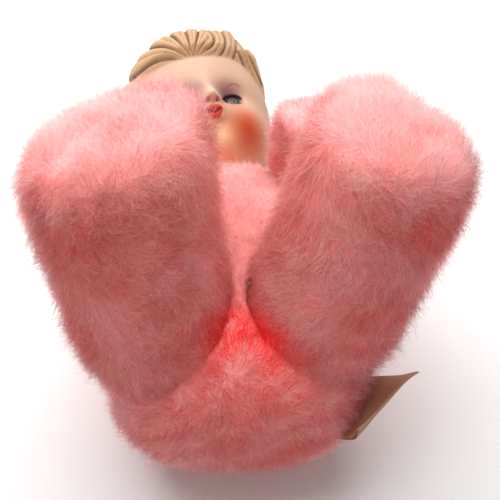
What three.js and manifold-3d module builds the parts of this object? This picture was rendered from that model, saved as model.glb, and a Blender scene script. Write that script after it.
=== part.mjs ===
// A stuffed plush baby doll lying on its back, with a moulded head and its legs in the air.
// Millimetres, +Z up. The origin is the middle of the flat on which the doll's back rests.
// The head points along +Y, and the doll's left side is at +X.
import * as THREE from "three";
import { ConvexGeometry } from "three/addons/geometries/ConvexGeometry.js";
import { mergeVertices } from "three/addons/utils/BufferGeometryUtils.js";
import Module from "manifold-3d";

const wasm = await Module();
wasm.setup();

// Cloth and fits.
const pileSkin = 8; // plush cloth with its pile, as a wall
const seamGap = 0.3; // between sewn panels, round the stuffing and round the eyes
const swingClearance = 0.5; // between a moving piece and the hollow it swings in

// Torso: an egg along Y, widest at the origin.
const seatReach = 80; // origin to the seat
const chestReach = 126; // origin to the neck end
const torsoHalfWidth = 83;
const bellyHeight = 132; // floor to the top of the belly
const restDepth = 0.5; // how deep the back is flattened where it rests
const sideSeamHeight = 62; // floor to the seam between the front and back panels

// Legs: fat stubs sewn in a sitting position, with a separate oval sole.
const thighRadius = 47;
const legLength = 119; // hip to sole
const soleHalfWidth = 45.5;
const toeReach = 73; // leg's axis to the front of the foot
const heelReach = 44; // leg's axis to the heel
const soleEdge = 16; // rounding of the foot's rim
const soleThickness = 12;
const hipSpacing = 96;
const hipFromSeat = 72;
const hipHeight = 105;
const legLean = 20; // degrees towards the head
const leftLegSplay = 20; // degrees outwards
const rightLegSplay = 9.5;
const leftFootTurn = 12; // degrees that the toes turn to the doll's left
const rightFootTurn = 30;
const hipSwing = [-4, 22]; // degrees about +X, positive away from the head

// Arms: short stubs.
const armRadius = 27;
const armLength = 60; // shoulder to the end of the arm
const cuffHalfWidth = 26;
const cuffEdge = 9;
const shoulderFromNeck = 25;
const shoulderHeight = 88;
const shoulderProud = 1; // shoulder's centre beyond the torso's side
const armLean = 9;
const armSplay = 1;
const shoulderSwing = [-4, 35]; // degrees about the length of the body, positive outwards

// Neck: a moulded stub with a bulb that the gathered cloth is tied round.
const neckRadius = 15;
const neckBulbRadius = 20;
const neckBore = 9;
const neckPivotFromEnd = 31; // torso's neck end to the bulb's centre
const neckPivotHeight = 53.3;
const collarThickness = 3;
const collarHeight = 5;
const tieRadius = 1.4;
const jawRoom = 10; // how far the face may swell beyond the plain skull above the chest
const neckTilt = [-16, 1]; // degrees about +Z from the pose in which the head lolls to its right

// Head: a hollow moulded shell.
const headRise = 86; // neck pivot to the middle of the skull
const headLean = 10.8; // degrees to the doll's right
const headPitch = 5.5; // degrees forward
const headTurn = 6; // degrees to the doll's left
const skullHalfWidth = 55;
const skullHalfHeight = 60; // below its middle
const crownHeight = 68; // above its middle, under the hair
const skullHalfDepth = 58;
const headWall = 4;
const hairlineHeight = 17; // skull's middle to the middle of the hairline
const hairThickness = 2.5;
const quiffRise = 8.5; // extra height of the hair above the forehead
const templeDrop = 9; // how far the hairline falls from the forehead to the temples
const napeDrop = 49; // how far it falls from there behind the ears
const curlRise = 6; // extra height of the roll of hair on the left
const templeRise = 5; // extra height of the hair at the left temple
const lockDepth = 2.6;
const lockStep = 24; // degrees from lock to lock where they sweep from the middle of the hairline
const curlStep = 8.2; // from lock to lock where they curl round the roll
const templeStep = 7.2; // from lock to lock where they are combed down at the left temple
const eyeSpacing = 36;
const eyeDrop = 13.5; // skull's middle to the line of the eyes
const eyeRadius = 10.5;
const eyeProud = 3.2; // eye's front ahead of the bottom of its socket
const socketDepth = 11;
const noseRise = 8.5;
const lipRise = 3;
const cheekRise = 6;
const chinRise = 7;
const earRise = 5;
const earHalfHeight = 15;
const earHalfDepth = 9;

// Tag: a strip of cloth folded double and sewn into the left side seam.
const tagWidth = 38; // along the seam
const tagLength = 28;
const tagThickness = 1.2;
const tagBend = 3; // how far the free edge curls
const tagFromSeat = 28; // seat to the middle of the tag
const tagNearLift = 62; // degrees above level at its end by the seat
const tagFarLift = 12;
const tagSwing = [-20, 20];

const xAxis = new THREE.Vector3(1, 0, 0);
const yAxis = new THREE.Vector3(0, 1, 0);
const zAxis = new THREE.Vector3(0, 0, 1);
const farAway = 400; // half-size of the blocks that split a solid
const radians = THREE.MathUtils.degToRad;

function solidFrom(geometry) {
  const bare = geometry.clone();
  bare.deleteAttribute("normal");
  bare.deleteAttribute("uv");
  const merged = mergeVertices(bare, 1e-4);
  return new wasm.Manifold(
    new wasm.Mesh({
      numProp: 3,
      vertProperties: new Float32Array(merged.attributes.position.array),
      triVerts: new Uint32Array(merged.index.array),
    }),
  );
}

function geometryFrom(solid) {
  const { vertProperties, triVerts } = solid.getMesh();
  const geometry = new THREE.BufferGeometry();
  geometry.setAttribute("position", new THREE.BufferAttribute(vertProperties, 3));
  geometry.setIndex(new THREE.BufferAttribute(triVerts, 1));
  geometry.computeVertexNormals();
  return geometry;
}

// A block between two corners, for cutting a solid at a plane.
function block(low, high) {
  const size = new THREE.Vector3().subVectors(high, low);
  const middle = new THREE.Vector3().addVectors(low, high).multiplyScalar(0.5);
  const box = new THREE.BoxGeometry(size.x, size.y, size.z);
  return solidFrom(box.translate(middle.x, middle.y, middle.z));
}

function blockAbove(axis, level) {
  const low = new THREE.Vector3().setScalar(-farAway);
  return block(low.setComponent(axis, level), new THREE.Vector3().setScalar(farAway));
}

function blockBelow(axis, level) {
  const high = new THREE.Vector3().setScalar(farAway);
  return block(new THREE.Vector3().setScalar(-farAway), high.setComponent(axis, level));
}

// Joins rings of points into a closed skin, with a tip at each end.
// The rings run along an axis and their points go anticlockwise about it.
function loft(rings, startTip, endTip) {
  const around = rings[0].length;
  const points = [...rings.flat(), startTip, endTip];
  const start = rings.length * around;
  const end = start + 1;
  const last = start - around;
  const index = [];
  for (let k = 0; k < around; k++) {
    const next = (k + 1) % around;
    index.push(start, next, k, end, last + k, last + next);
    for (let ring = 0; ring < last; ring += around) {
      index.push(ring + k, ring + next, ring + around + next);
      index.push(ring + k, ring + around + next, ring + around + k);
    }
  }
  return new THREE.BufferGeometry().setFromPoints(points).setIndex(index);
}

// A ring in the plane of its two axes, with its own reach on each side of the second one.
function ring(centre, wide, deep, reach, around, squareness) {
  const power = 2 / squareness;
  return Array.from({ length: around }, (_, k) => {
    const angle = (2 * Math.PI * k) / around;
    const cosine = Math.cos(angle);
    const sine = Math.sin(angle);
    const across = reach.side * Math.sign(cosine) * Math.abs(cosine) ** power;
    const along = (sine > 0 ? reach.front : reach.back) * Math.sign(sine) * Math.abs(sine) ** power;
    return centre.clone().addScaledVector(wide, across).addScaledVector(deep, along);
  });
}

// A closed skin over two grids of points, the second of them outside the first.
function slab(wideSteps, longSteps, pointAt) {
  const points = [];
  for (let layer = 0; layer < 2; layer++) {
    for (let i = 0; i <= wideSteps; i++) {
      for (let j = 0; j <= longSteps; j++) {
        points.push(pointAt(layer, i / wideSteps, j / longSteps));
      }
    }
  }
  const spot = (layer, i, j) => (layer * (wideSteps + 1) + i) * (longSteps + 1) + j;
  const index = [];
  const quad = (a, b, c, d) => index.push(a, b, c, a, c, d);
  for (let i = 0; i < wideSteps; i++) {
    for (let j = 0; j < longSteps; j++) {
      quad(spot(1, i, j), spot(1, i, j + 1), spot(1, i + 1, j + 1), spot(1, i + 1, j));
      quad(spot(0, i, j), spot(0, i + 1, j), spot(0, i + 1, j + 1), spot(0, i, j + 1));
    }
    quad(spot(0, i + 1, 0), spot(0, i, 0), spot(1, i, 0), spot(1, i + 1, 0));
    const end = longSteps;
    quad(spot(0, i, end), spot(0, i + 1, end), spot(1, i + 1, end), spot(1, i, end));
  }
  for (let j = 0; j < longSteps; j++) {
    quad(spot(0, 0, j), spot(0, 0, j + 1), spot(1, 0, j + 1), spot(1, 0, j));
    const end = wideSteps;
    quad(spot(0, end, j + 1), spot(0, end, j), spot(1, end, j), spot(1, end, j + 1));
  }
  return new THREE.BufferGeometry().setFromPoints(points).setIndex(index);
}

function turnAbout(point, axis, degrees) {
  return new THREE.Matrix4()
    .makeTranslation(point)
    .multiply(new THREE.Matrix4().makeRotationAxis(axis, radians(degrees)))
    .multiply(new THREE.Matrix4().makeTranslation(point.clone().negate()));
}

// The room that a piece needs to swing about a hinge, as one convex solid.
function swingRoom(points, pivot, axis, range, rootPoints = []) {
  const swept = range.flatMap((degrees) => {
    const turn = turnAbout(pivot, axis, degrees);
    return points.map((point) => point.clone().applyMatrix4(turn));
  });
  return solidFrom(new ConvexGeometry([...swept, ...rootPoints]));
}

function pointsOf(geometry) {
  const position = geometry.getAttribute("position");
  return Array.from({ length: position.count }, (_, k) =>
    new THREE.Vector3().fromBufferAttribute(position, k),
  );
}

// Torso.
const torsoLength = seatReach + chestReach;
const torsoMiddle = (bellyHeight - restDepth) / 2;
const torsoHalfHeight = (bellyHeight + restDepth) / 2;
const eggSkew = Math.log(0.5) / Math.log(seatReach / torsoLength);
const eggSquareness = 2.4;
const sectionSquareness = 2.25;

// How much of its full width the torso has at a share of its length from the seat.
function eggFullness(share) {
  return (1 - Math.abs(2 * share ** eggSkew - 1) ** eggSquareness) ** (1 / eggSquareness);
}

function torsoHalfWidthAt(y) {
  return torsoHalfWidth * eggFullness((y + seatReach) / torsoLength);
}

function torsoForm(inset, around, stations) {
  const rings = Array.from({ length: stations }, (_, k) => {
    const share = (1 - Math.cos((Math.PI * (k + 1)) / (stations + 1))) / 2;
    const fullness = eggFullness(share);
    const y = -seatReach + inset + share * (torsoLength - 2 * inset);
    const height = (torsoHalfHeight - inset) * fullness;
    const reach = { side: (torsoHalfWidth - inset) * fullness, front: height, back: height };
    const centre = new THREE.Vector3(0, y, torsoMiddle);
    return ring(centre, xAxis, zAxis, reach, around, sectionSquareness).reverse();
  });
  return solidFrom(
    loft(
      rings,
      new THREE.Vector3(0, inset - seatReach, torsoMiddle),
      new THREE.Vector3(0, chestReach - inset, torsoMiddle),
    ),
  );
}

// A stuffed stub along +Z from its root: a ball at the root, then a swelling shaft and a blunt end.
function stubForm(stub, inset, around, steps) {
  const root = stub.root - inset;
  const length = stub.length - inset;
  const edge = Math.max(stub.edge - inset / 2, 1);
  const rings = [];
  const addRing = (height, reach) => {
    const centre = new THREE.Vector3(0, 0, height);
    rings.push(ring(centre, xAxis, yAxis, reach, around, 2));
  };
  for (let k = 1; k < steps; k++) {
    const angle = (Math.PI / 2) * (k / steps - 1);
    const radius = root * Math.cos(angle);
    addRing(root * Math.sin(angle), { side: radius, front: radius, back: radius });
  }
  const shaft = length - edge;
  const endReach = { side: stub.side - inset, front: stub.front - inset, back: stub.back - inset };
  const lerp = THREE.MathUtils.lerp;
  for (let k = 0; k <= steps; k++) {
    const share = THREE.MathUtils.smoothstep(k, 0, steps);
    addRing((shaft * k) / steps, {
      side: lerp(root, endReach.side, share),
      front: lerp(root, endReach.front, share),
      back: lerp(root, endReach.back, share),
    });
  }
  const rimSteps = 3;
  for (let k = 1; k <= rimSteps; k++) {
    const angle = (Math.PI / 2) * (k / rimSteps);
    const drawnIn = edge * (1 - Math.cos(angle));
    addRing(shaft + edge * Math.sin(angle), {
      side: endReach.side - drawnIn,
      front: endReach.front - drawnIn,
      back: endReach.back - drawnIn,
    });
  }
  return loft(rings, new THREE.Vector3(0, 0, -root), new THREE.Vector3(0, 0, length));
}

// Places a stub: its own +Z along its direction and its front towards the head, then turned to its left.
function stubFrame(root, splay, lean, turn) {
  const along = new THREE.Vector3(Math.tan(radians(splay)), Math.tan(radians(lean)), 1).normalize();
  const front = yAxis.clone().addScaledVector(along, -along.y).normalize();
  const side = new THREE.Vector3().crossVectors(front, along);
  return new THREE.Matrix4()
    .makeBasis(side, front, along)
    .setPosition(root)
    .multiply(new THREE.Matrix4().makeRotationZ(radians(-turn)));
}

const leg = {
  root: thighRadius,
  length: legLength,
  side: soleHalfWidth,
  front: toeReach,
  back: heelReach,
  edge: soleEdge,
};
const arm = {
  root: armRadius,
  length: armLength,
  side: cuffHalfWidth,
  front: cuffHalfWidth,
  back: cuffHalfWidth,
  edge: cuffEdge,
};

const hipY = hipFromSeat - seatReach;
const shoulderY = chestReach - shoulderFromNeck;
const shoulderX = torsoHalfWidthAt(shoulderY) + shoulderProud;
const leftHip = new THREE.Vector3(hipSpacing / 2, hipY, hipHeight);
const rightHip = new THREE.Vector3(-hipSpacing / 2, hipY, hipHeight);
const leftShoulder = new THREE.Vector3(shoulderX, shoulderY, shoulderHeight);
const rightShoulder = new THREE.Vector3(-shoulderX, shoulderY, shoulderHeight);

const limbs = [
  {
    name: "left_leg",
    stub: leg,
    pivot: leftHip,
    axis: xAxis,
    frame: stubFrame(leftHip, leftLegSplay, legLean, leftFootTurn),
    swing: hipSwing,
    facets: { outside: 20, inside: 12 },
    sole: "left_sole",
  },
  {
    name: "right_leg",
    stub: leg,
    pivot: rightHip,
    axis: xAxis,
    frame: stubFrame(rightHip, -rightLegSplay, legLean, rightFootTurn),
    swing: hipSwing,
    facets: { outside: 20, inside: 12 },
    sole: "right_sole",
  },
  {
    name: "left_arm",
    stub: arm,
    pivot: leftShoulder,
    axis: yAxis,
    frame: stubFrame(leftShoulder, armSplay, armLean, 0),
    swing: shoulderSwing,
    facets: { outside: 16, inside: 8 },
  },
  {
    name: "right_arm",
    stub: arm,
    pivot: rightShoulder,
    axis: yAxis.clone().negate(),
    frame: stubFrame(rightShoulder, -armSplay, armLean, 0),
    swing: shoulderSwing,
    facets: { outside: 16, inside: 8 },
  },
];

// The room that a limb needs to swing in: its root's ball, then its shaft from one limit to the other.
// Flat facets are drawn round the true ball, so that they stay outside it.
function limbRoom(limb, growth, around) {
  const outside = (limb.stub.root + growth) / Math.cos(Math.PI / around) ** 2 - limb.stub.root;
  const ball = new THREE.SphereGeometry(limb.stub.root + outside, around, around / 2);
  const grown = { ...limb.stub, length: limb.stub.length + outside };
  const shaft = stubForm(grown, -outside, around, 1).applyMatrix4(limb.frame);
  const rootPoints = pointsOf(ball.translate(limb.pivot.x, limb.pivot.y, limb.pivot.z));
  return swingRoom(pointsOf(shaft), limb.pivot, limb.axis, limb.swing, rootPoints);
}

// Head, in its own frame: +Z is the way the face looks, +Y the crown, the origin the skull's middle.
const neckPivot = new THREE.Vector3(0, chestReach - neckPivotFromEnd, neckPivotHeight);
const neckFrame = new THREE.Matrix4()
  .makeTranslation(neckPivot)
  .multiply(new THREE.Matrix4().makeRotationZ(radians(headLean)))
  .multiply(new THREE.Matrix4().makeRotationX(radians(headPitch)))
  .multiply(new THREE.Matrix4().makeRotationY(radians(headTurn)));

function mound(distance, width) {
  return Math.exp(-((distance / width) ** 2));
}

// Swellings and hollows of the face, for a point on the plain skull with the face towards +Z.
function faceRelief(point) {
  if (point.z < 0) {
    return 0;
  }
  const x = Math.abs(point.x);
  const y = point.y + eyeDrop; // height above the line of the eyes
  const forehead = 3 * mound(x, 38) * mound(y - 32, 22);
  const socket = -socketDepth * mound(x - eyeSpacing / 2, 10.5) * mound(y, 8);
  const bridge = 2 * mound(x, 5) * mound(y - 5, 9);
  const tip = noseRise * mound(x, 5.2) * mound(y + 2.8, 5);
  const wing = 2.4 * mound(x - 5.4, 3) * mound(y + 4.8, 3);
  const muzzle = 2.5 * mound(x, 12) * mound(y + 13, 8);
  const upperLip = lipRise * mound(x - 3, 4) * mound(y + 11.2, 2.4);
  const lowerLip = lipRise * mound(x, 5.5) * mound(y + 15.8, 2.6);
  const cheek = cheekRise * mound(x - 29, 17) * mound(y + 20, 14);
  const chin = chinRise * mound(x, 13) * mound(y + 31, 9);
  return forehead + socket + bridge + tip + wing + muzzle + upperLip + lowerLip + cheek + chin;
}

// Height of a point over the hairline, which stays above the temples and drops behind the ears.
function aboveHairline(point) {
  const degrees = THREE.MathUtils.radToDeg(Math.abs(Math.atan2(point.x, point.z)));
  const temple = THREE.MathUtils.smoothstep(degrees, 40, 65);
  const nape = THREE.MathUtils.smoothstep(degrees, 84, 125);
  const peak = 3 * mound(degrees - 30, 16);
  return point.y - hairlineHeight - peak + templeDrop * temple + napeDrop * nape;
}

// Height of the hair over the skull before it is cut into locks.
function hairRise(point) {
  const degrees = THREE.MathUtils.radToDeg(Math.atan2(point.x, point.z));
  const above = aboveHairline(point);
  const quiff = quiffRise * mound(degrees, 55) * mound(above - 20, 18);
  const front = point.z > 0 ? 1 : 0;
  const roll = front * curlRise * mound(point.x - 26, 8) * mound(point.y - 41, 9);
  const temple = front * templeRise * mound(point.x - 39, 8) * mound(point.y - 28, 8);
  return THREE.MathUtils.smoothstep(above, 0, 5) * (hairThickness + quiff + roll + temple);
}

// How far a lock rises from its groove, as it looks from below the chin: the locks sweep back from the
// middle of the hairline, curl round the roll on the doll's left and are combed down at that temple.
const lookRight = new THREE.Vector3(0.969, -0.227, 0.091);
const lookUp = new THREE.Vector3(0.119, 0.763, 0.636);

function lockRise(spot) {
  const ridge = (phase) => Math.sqrt(Math.abs(Math.sin(Math.PI * phase)));
  const { lerp, smoothstep } = THREE.MathUtils;
  const wide = spot.dot(lookRight) + 2;
  const high = spot.dot(lookUp) - 53.5;
  const bearing = THREE.MathUtils.radToDeg(Math.atan2(-wide, high));
  const sway = 8 * Math.sin(Math.hypot(wide, high) / 11);
  const sweep = ridge((bearing + sway) / lockStep);
  const curl = ridge(Math.hypot(wide - 5.8, high - 9) / curlStep);
  const temple = ridge((0.9 * wide + 0.45 * high) / templeStep);
  return lerp(lerp(sweep, curl, smoothstep(wide, -3, 5)), temple, smoothstep(wide, 27, 33));
}

// The part of the hair that is cut into locks, in degrees across the head and up over it.
const locked = { left: 66, right: -75, low: 14, high: 80 };

function lockCover(direction, above) {
  const { radToDeg, smoothstep } = THREE.MathUtils;
  const across = radToDeg(Math.asin(direction.x));
  const over = radToDeg(Math.atan2(direction.y, direction.z));
  const sides = smoothstep(across - locked.right, 0, 8) * smoothstep(locked.left - across, 0, 8);
  return sides * smoothstep(locked.high - over, 0, 10) * smoothstep(above, 0, 5);
}

function skullPoint(direction) {
  const stretch = Math.hypot(
    direction.x / skullHalfWidth,
    direction.y / (direction.y > 0 ? crownHeight : skullHalfHeight),
    direction.z / skullHalfDepth,
  );
  return direction.clone().divideScalar(stretch);
}

// A point of the head without its locks; the hair makes room for them where they lie.
function headPoint(direction, inset) {
  const point = skullPoint(direction);
  const room = 0.8 * lockDepth * lockCover(direction, aboveHairline(point));
  return point.addScaledVector(direction, faceRelief(point) + hairRise(point) - room - inset);
}

// A point on the locks, which sink into the hair at their edges.
function lockPoint(direction) {
  const point = skullPoint(direction);
  const cover = lockCover(direction, aboveHairline(point));
  point.addScaledVector(direction, faceRelief(point) + hairRise(point));
  const rise = lockDepth * (lockRise(point) - 0.6);
  return point.addScaledVector(direction, THREE.MathUtils.lerp(-0.5, rise, cover));
}

function lockForm() {
  const direction = (wide, long) => {
    const across = radians(THREE.MathUtils.lerp(locked.left, locked.right, wide));
    const over = radians(THREE.MathUtils.lerp(locked.low, locked.high, long));
    return new THREE.Vector3(
      Math.sin(across),
      Math.cos(across) * Math.sin(over),
      Math.cos(across) * Math.cos(over),
    );
  };
  return slab(46, 18, (layer, wide, long) => {
    const way = direction(wide, long);
    return layer ? lockPoint(way) : headPoint(way, headWall / 2);
  });
}

// Angles from one pole to the other, packed closer near the far pole.
function latitudes(rows, spread, packing) {
  const samples = 400;
  const weights = Array.from({ length: samples }, (_, k) => {
    return 1 + packing * mound(180 - (180 * (k + 0.5)) / samples, spread);
  });
  const total = weights.reduce((sum, weight) => sum + weight, 0);
  const angles = [];
  let sum = 0;
  weights.forEach((weight, k) => {
    sum += weight;
    while (angles.length < rows && sum >= (total * (angles.length + 1)) / (rows + 1)) {
      angles.push((180 * (k + 1)) / samples);
    }
  });
  return angles;
}

// Rings round the line from the back of the head to the middle of the face, closest at the features.
function headForm(inset, columns, rows) {
  const face = new THREE.Vector3(0, -0.42, 1).normalize();
  const brow = new THREE.Vector3().crossVectors(face, xAxis);
  const rings = latitudes(rows, 42, 1.4).map((latitude) =>
    Array.from({ length: columns }, (_, k) => {
      const angle = (2 * Math.PI * k) / columns;
      const direction = face.clone().multiplyScalar(-Math.cos(radians(latitude)));
      direction.addScaledVector(xAxis, Math.sin(radians(latitude)) * Math.cos(angle));
      direction.addScaledVector(brow, Math.sin(radians(latitude)) * Math.sin(angle));
      return headPoint(direction, inset);
    }),
  );
  const behind = face.clone().negate();
  return solidFrom(loft(rings, headPoint(behind, inset), headPoint(face, inset)));
}

// A cupped ear on each side, low and a little behind the middle.
function earForm(side) {
  const root = skullPoint(new THREE.Vector3(side, -0.42, -0.08).normalize());
  const shell = new THREE.SphereGeometry(1, 14, 10).scale(earRise, earHalfHeight, earHalfDepth);
  const cup = new THREE.SphereGeometry(1, 12, 8).scale(earRise / 2, earHalfHeight / 2, earHalfDepth / 2);
  cup.translate(side * earRise, 0, earHalfDepth / 5);
  const ear = solidFrom(shell.translate(root.x, root.y, root.z));
  return ear.subtract(solidFrom(cup.translate(root.x, root.y, root.z)));
}

// Neck stub with its bulb, revolved about the neck's axis.
function neckForm() {
  const bulbSteps = 8;
  const stubAngle = Math.PI - Math.asin(neckRadius / neckBulbRadius);
  const profile = Array.from({ length: bulbSteps + 1 }, (_, k) => {
    const angle = (stubAngle * k) / bulbSteps;
    return new THREE.Vector2(
      neckBulbRadius * Math.sin(angle),
      -headRise - neckBulbRadius * Math.cos(angle),
    );
  });
  profile[0].x = 0;
  const inside = -skullHalfHeight * 0.8;
  profile.push(new THREE.Vector2(neckRadius, inside), new THREE.Vector2(0, inside));
  return solidFrom(new THREE.LatheGeometry(profile, 20));
}

function eyeCentre(side) {
  const onSkull = new THREE.Vector3((side * eyeSpacing) / 2, -eyeDrop, 0);
  const flatness = (onSkull.x / skullHalfWidth) ** 2 + (onSkull.y / skullHalfHeight) ** 2;
  onSkull.z = skullHalfDepth * Math.sqrt(1 - flatness) - socketDepth + eyeProud - eyeRadius;
  return onSkull;
}

function eyeBall(side, growth) {
  const centre = eyeCentre(side);
  const ball = new THREE.SphereGeometry(eyeRadius + growth, 16, 10).rotateX(Math.PI / 2);
  return ball.translate(centre.x, centre.y, centre.z);
}

function headShell() {
  const boreLength = headRise + neckBulbRadius;
  const bore = new THREE.CylinderGeometry(neckBore, neckBore, boreLength, 20);
  const outside = headForm(0, 60, 36).add(solidFrom(lockForm()));
  const cups = solidFrom(eyeBall(1, headWall)).add(solidFrom(eyeBall(-1, headWall)));
  return outside
    .add(earForm(1))
    .add(earForm(-1))
    .add(neckForm())
    .subtract(headForm(headWall, 18, 14))
    .add(cups.intersect(outside))
    .subtract(solidFrom(bore.translate(0, -boreLength / 2 - skullHalfHeight / 2, 0)))
    .subtract(solidFrom(eyeBall(1, seamGap)))
    .subtract(solidFrom(eyeBall(-1, seamGap)));
}

// Gathered cloth round the neck stub and the cord that ties it.
const collarStart = -headRise + neckBulbRadius + 1.5;
const collarInner = neckRadius + seamGap;
const collarOuter = collarInner + collarThickness;

function collarForm() {
  const gatherDepth = 1; // waist that the cord draws in
  const profile = [
    new THREE.Vector2(collarInner, collarStart),
    new THREE.Vector2(collarOuter, collarStart),
    new THREE.Vector2(collarOuter - gatherDepth, collarStart + collarHeight / 2),
    new THREE.Vector2(collarOuter, collarStart + collarHeight),
    new THREE.Vector2(collarInner, collarStart + collarHeight),
    new THREE.Vector2(collarInner, collarStart),
  ];
  return solidFrom(new THREE.LatheGeometry(profile, 20));
}

function tieForm(growth) {
  const ringRadius = collarOuter + tieRadius + seamGap - 0.4;
  const cord = new THREE.TorusGeometry(ringRadius, tieRadius + growth, 6, 20);
  return cord.rotateX(Math.PI / 2).translate(0, collarStart + collarHeight / 2, 0);
}

// The room that the neck and collar need in the torso as the head lolls from side to side.
function neckRoom() {
  const reach = neckRadius + swingClearance;
  const wide = collarOuter + 2 * tieRadius + swingClearance;
  const step = collarStart - 2 * swingClearance;
  const far = skullHalfHeight;
  const column = (radius, low, high) => {
    const tube = new THREE.CylinderGeometry(radius, radius, high - low, 24);
    const placed = tube.translate(0, (low + high) / 2, 0).applyMatrix4(headFrame);
    return swingRoom(pointsOf(placed), neckPivot, zAxis, neckTilt);
  };
  const bulb = new THREE.SphereGeometry(neckBulbRadius / Math.cos(Math.PI / 24) + swingClearance, 24, 16);
  const girth = Math.max(skullHalfWidth, skullHalfDepth) + jawRoom;
  const head = new THREE.SphereGeometry(1, 24, 16).scale(girth, skullHalfHeight + jawRoom, girth);
  head.applyMatrix4(headFrame);
  return solidFrom(bulb.translate(neckPivot.x, neckPivot.y, neckPivot.z))
    .add(column(reach, -headRise, step))
    .add(column(wide, step, far - headRise))
    .add(swingRoom(pointsOf(head), neckPivot, zAxis, neckTilt));
}

const headFrame = neckFrame.clone().multiply(new THREE.Matrix4().makeTranslation(0, headRise, 0));

// Tag: a tape sewn into the side seam, that stands out of it as the seam curves round the seat.
const tagY = tagFromSeat - seatReach;
const tagEnds = [seamPoint(tagY - tagWidth / 2), seamPoint(tagY + tagWidth / 2)];
const tagPivot = new THREE.Vector3().lerpVectors(tagEnds[0], tagEnds[1], 0.5);
const tagAxis = new THREE.Vector3().subVectors(tagEnds[1], tagEnds[0]).normalize();

function seamPoint(y) {
  return new THREE.Vector3(torsoHalfWidthAt(y), y, sideSeamHeight);
}

// A point of the tag, at a share of its width and of its length, raised off the tape's middle.
function tagPoint(wide, long, rise) {
  const root = new THREE.Vector3().lerpVectors(tagEnds[0], tagEnds[1], wide);
  const run = seamPoint(root.y + 1).sub(seamPoint(root.y - 1)).normalize();
  const lift = radians(THREE.MathUtils.lerp(tagNearLift, tagFarLift, wide ** 3));
  const out = new THREE.Vector3().crossVectors(run, zAxis).multiplyScalar(Math.cos(lift));
  out.addScaledVector(zAxis, Math.sin(lift));
  const free = seamPoint(root.y).addScaledVector(out, tagLength);
  const face = new THREE.Vector3().crossVectors(out, run);
  return root.lerp(free, long).addScaledVector(face, rise + tagBend * long ** 2);
}

function tagForm(growth) {
  const half = tagThickness / 2 + growth;
  const grown = (share, size) => THREE.MathUtils.lerp(-growth / size, 1 + growth / size, share);
  return slab(7, 5, (layer, wide, long) =>
    tagPoint(grown(wide, tagWidth), grown(long, tagLength), layer ? half : -half),
  );
}

function tagRoom() {
  return swingRoom(pointsOf(tagForm(swingClearance)), tagPivot, tagAxis, tagSwing);
}

// Materials.
function cloth(colour, roughness) {
  return new THREE.MeshStandardMaterial({ color: colour, roughness, metalness: 0 });
}
const pinkPlush = cloth(0xf2a5a8, 0.95);
const palePlush = cloth(0xf8bfc0, 0.95);
const stuffing = cloth(0xf1ece2, 1);
const vinyl = cloth(0xe6c4a4, 0.45);
const glassyEye = cloth(0x6f7f88, 0.12);
const tagCloth = cloth(0xd9c3a8, 0.85);
const cord = cloth(0xefe6d8, 0.9);

const doll = new THREE.Group();

function placedGroup(frame) {
  const group = new THREE.Group();
  group.applyMatrix4(frame);
  doll.add(group);
  return group;
}

function addPiece(parent, name, geometry, material) {
  const piece = new THREE.Mesh(geometry, material);
  piece.name = name;
  parent.add(piece);
}

function addTorso() {
  const rooms = (growth, around) => limbs.map((limb) => limbRoom(limb, growth, around));
  const cuts = rooms(swingClearance, 14);
  const liningCuts = rooms(swingClearance + pileSkin, 8);
  const fillingCuts = rooms(swingClearance + pileSkin + seamGap, 8);
  const cutAll = (solid, tools) => tools.reduce((left, tool) => left.subtract(tool), solid);
  const neck = neckRoom();
  const lining = cutAll(torsoForm(pileSkin, 16, 8), liningCuts);
  const skin = cutAll(torsoForm(0, 32, 16), cuts)
    .subtract(lining)
    .subtract(neck)
    .subtract(tagRoom())
    .subtract(blockBelow(2, 0));
  const filling = cutAll(torsoForm(pileSkin + seamGap, 16, 8), fillingCuts).subtract(neck);
  const front = skin.intersect(blockAbove(2, sideSeamHeight + seamGap / 2));
  const back = skin.intersect(blockBelow(2, sideSeamHeight - seamGap / 2));
  addPiece(doll, "torso_front_panel", geometryFrom(front), pinkPlush);
  addPiece(doll, "torso_back_panel", geometryFrom(back), pinkPlush);
  addPiece(doll, "torso_stuffing", geometryFrom(filling), stuffing);
}

function addLimb(limb) {
  const group = placedGroup(limb.frame);
  const { outside, inside } = limb.facets;
  const outer = solidFrom(stubForm(limb.stub, 0, outside, outside / 4));
  const skin = outer.subtract(solidFrom(stubForm(limb.stub, pileSkin, inside, inside / 4)));
  const soleLevel = limb.sole ? limb.stub.length - soleThickness : farAway / 2;
  const sleeve = limb.sole ? skin.intersect(blockBelow(2, soleLevel - seamGap)) : skin;
  const front = sleeve.intersect(blockAbove(1, seamGap / 2));
  const back = sleeve.intersect(blockBelow(1, -seamGap / 2));
  addPiece(group, `${limb.name}_front_panel`, geometryFrom(front), pinkPlush);
  addPiece(group, `${limb.name}_back_panel`, geometryFrom(back), pinkPlush);
  if (limb.sole) {
    addPiece(group, limb.sole, geometryFrom(skin.intersect(blockAbove(2, soleLevel))), palePlush);
  }
  const filling = stubForm(limb.stub, pileSkin + seamGap, inside, inside / 4);
  addPiece(group, `${limb.name}_stuffing`, filling, stuffing);
}

function addHead() {
  const group = placedGroup(headFrame);
  addPiece(group, "head_shell", geometryFrom(headShell()), vinyl);
  addPiece(group, "left_eye", eyeBall(1, 0), glassyEye);
  addPiece(group, "right_eye", eyeBall(-1, 0), glassyEye);
  const collar = collarForm().subtract(solidFrom(tieForm(seamGap)));
  addPiece(group, "neck_collar", geometryFrom(collar), pinkPlush);
  addPiece(group, "neck_tie", tieForm(0), cord);
}

function addTag() {
  addPiece(doll, "law_tag", geometryFrom(solidFrom(tagForm(0))), tagCloth);
}

addTorso();
limbs.forEach(addLimb);
addHead();
addTag();

export default doll;
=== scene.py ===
import math
import bmesh
import bpy
import numpy as np
from mathutils import Matrix, Vector
from mathutils.bvhtree import BVHTree
from mathutils.kdtree import KDTree


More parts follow.
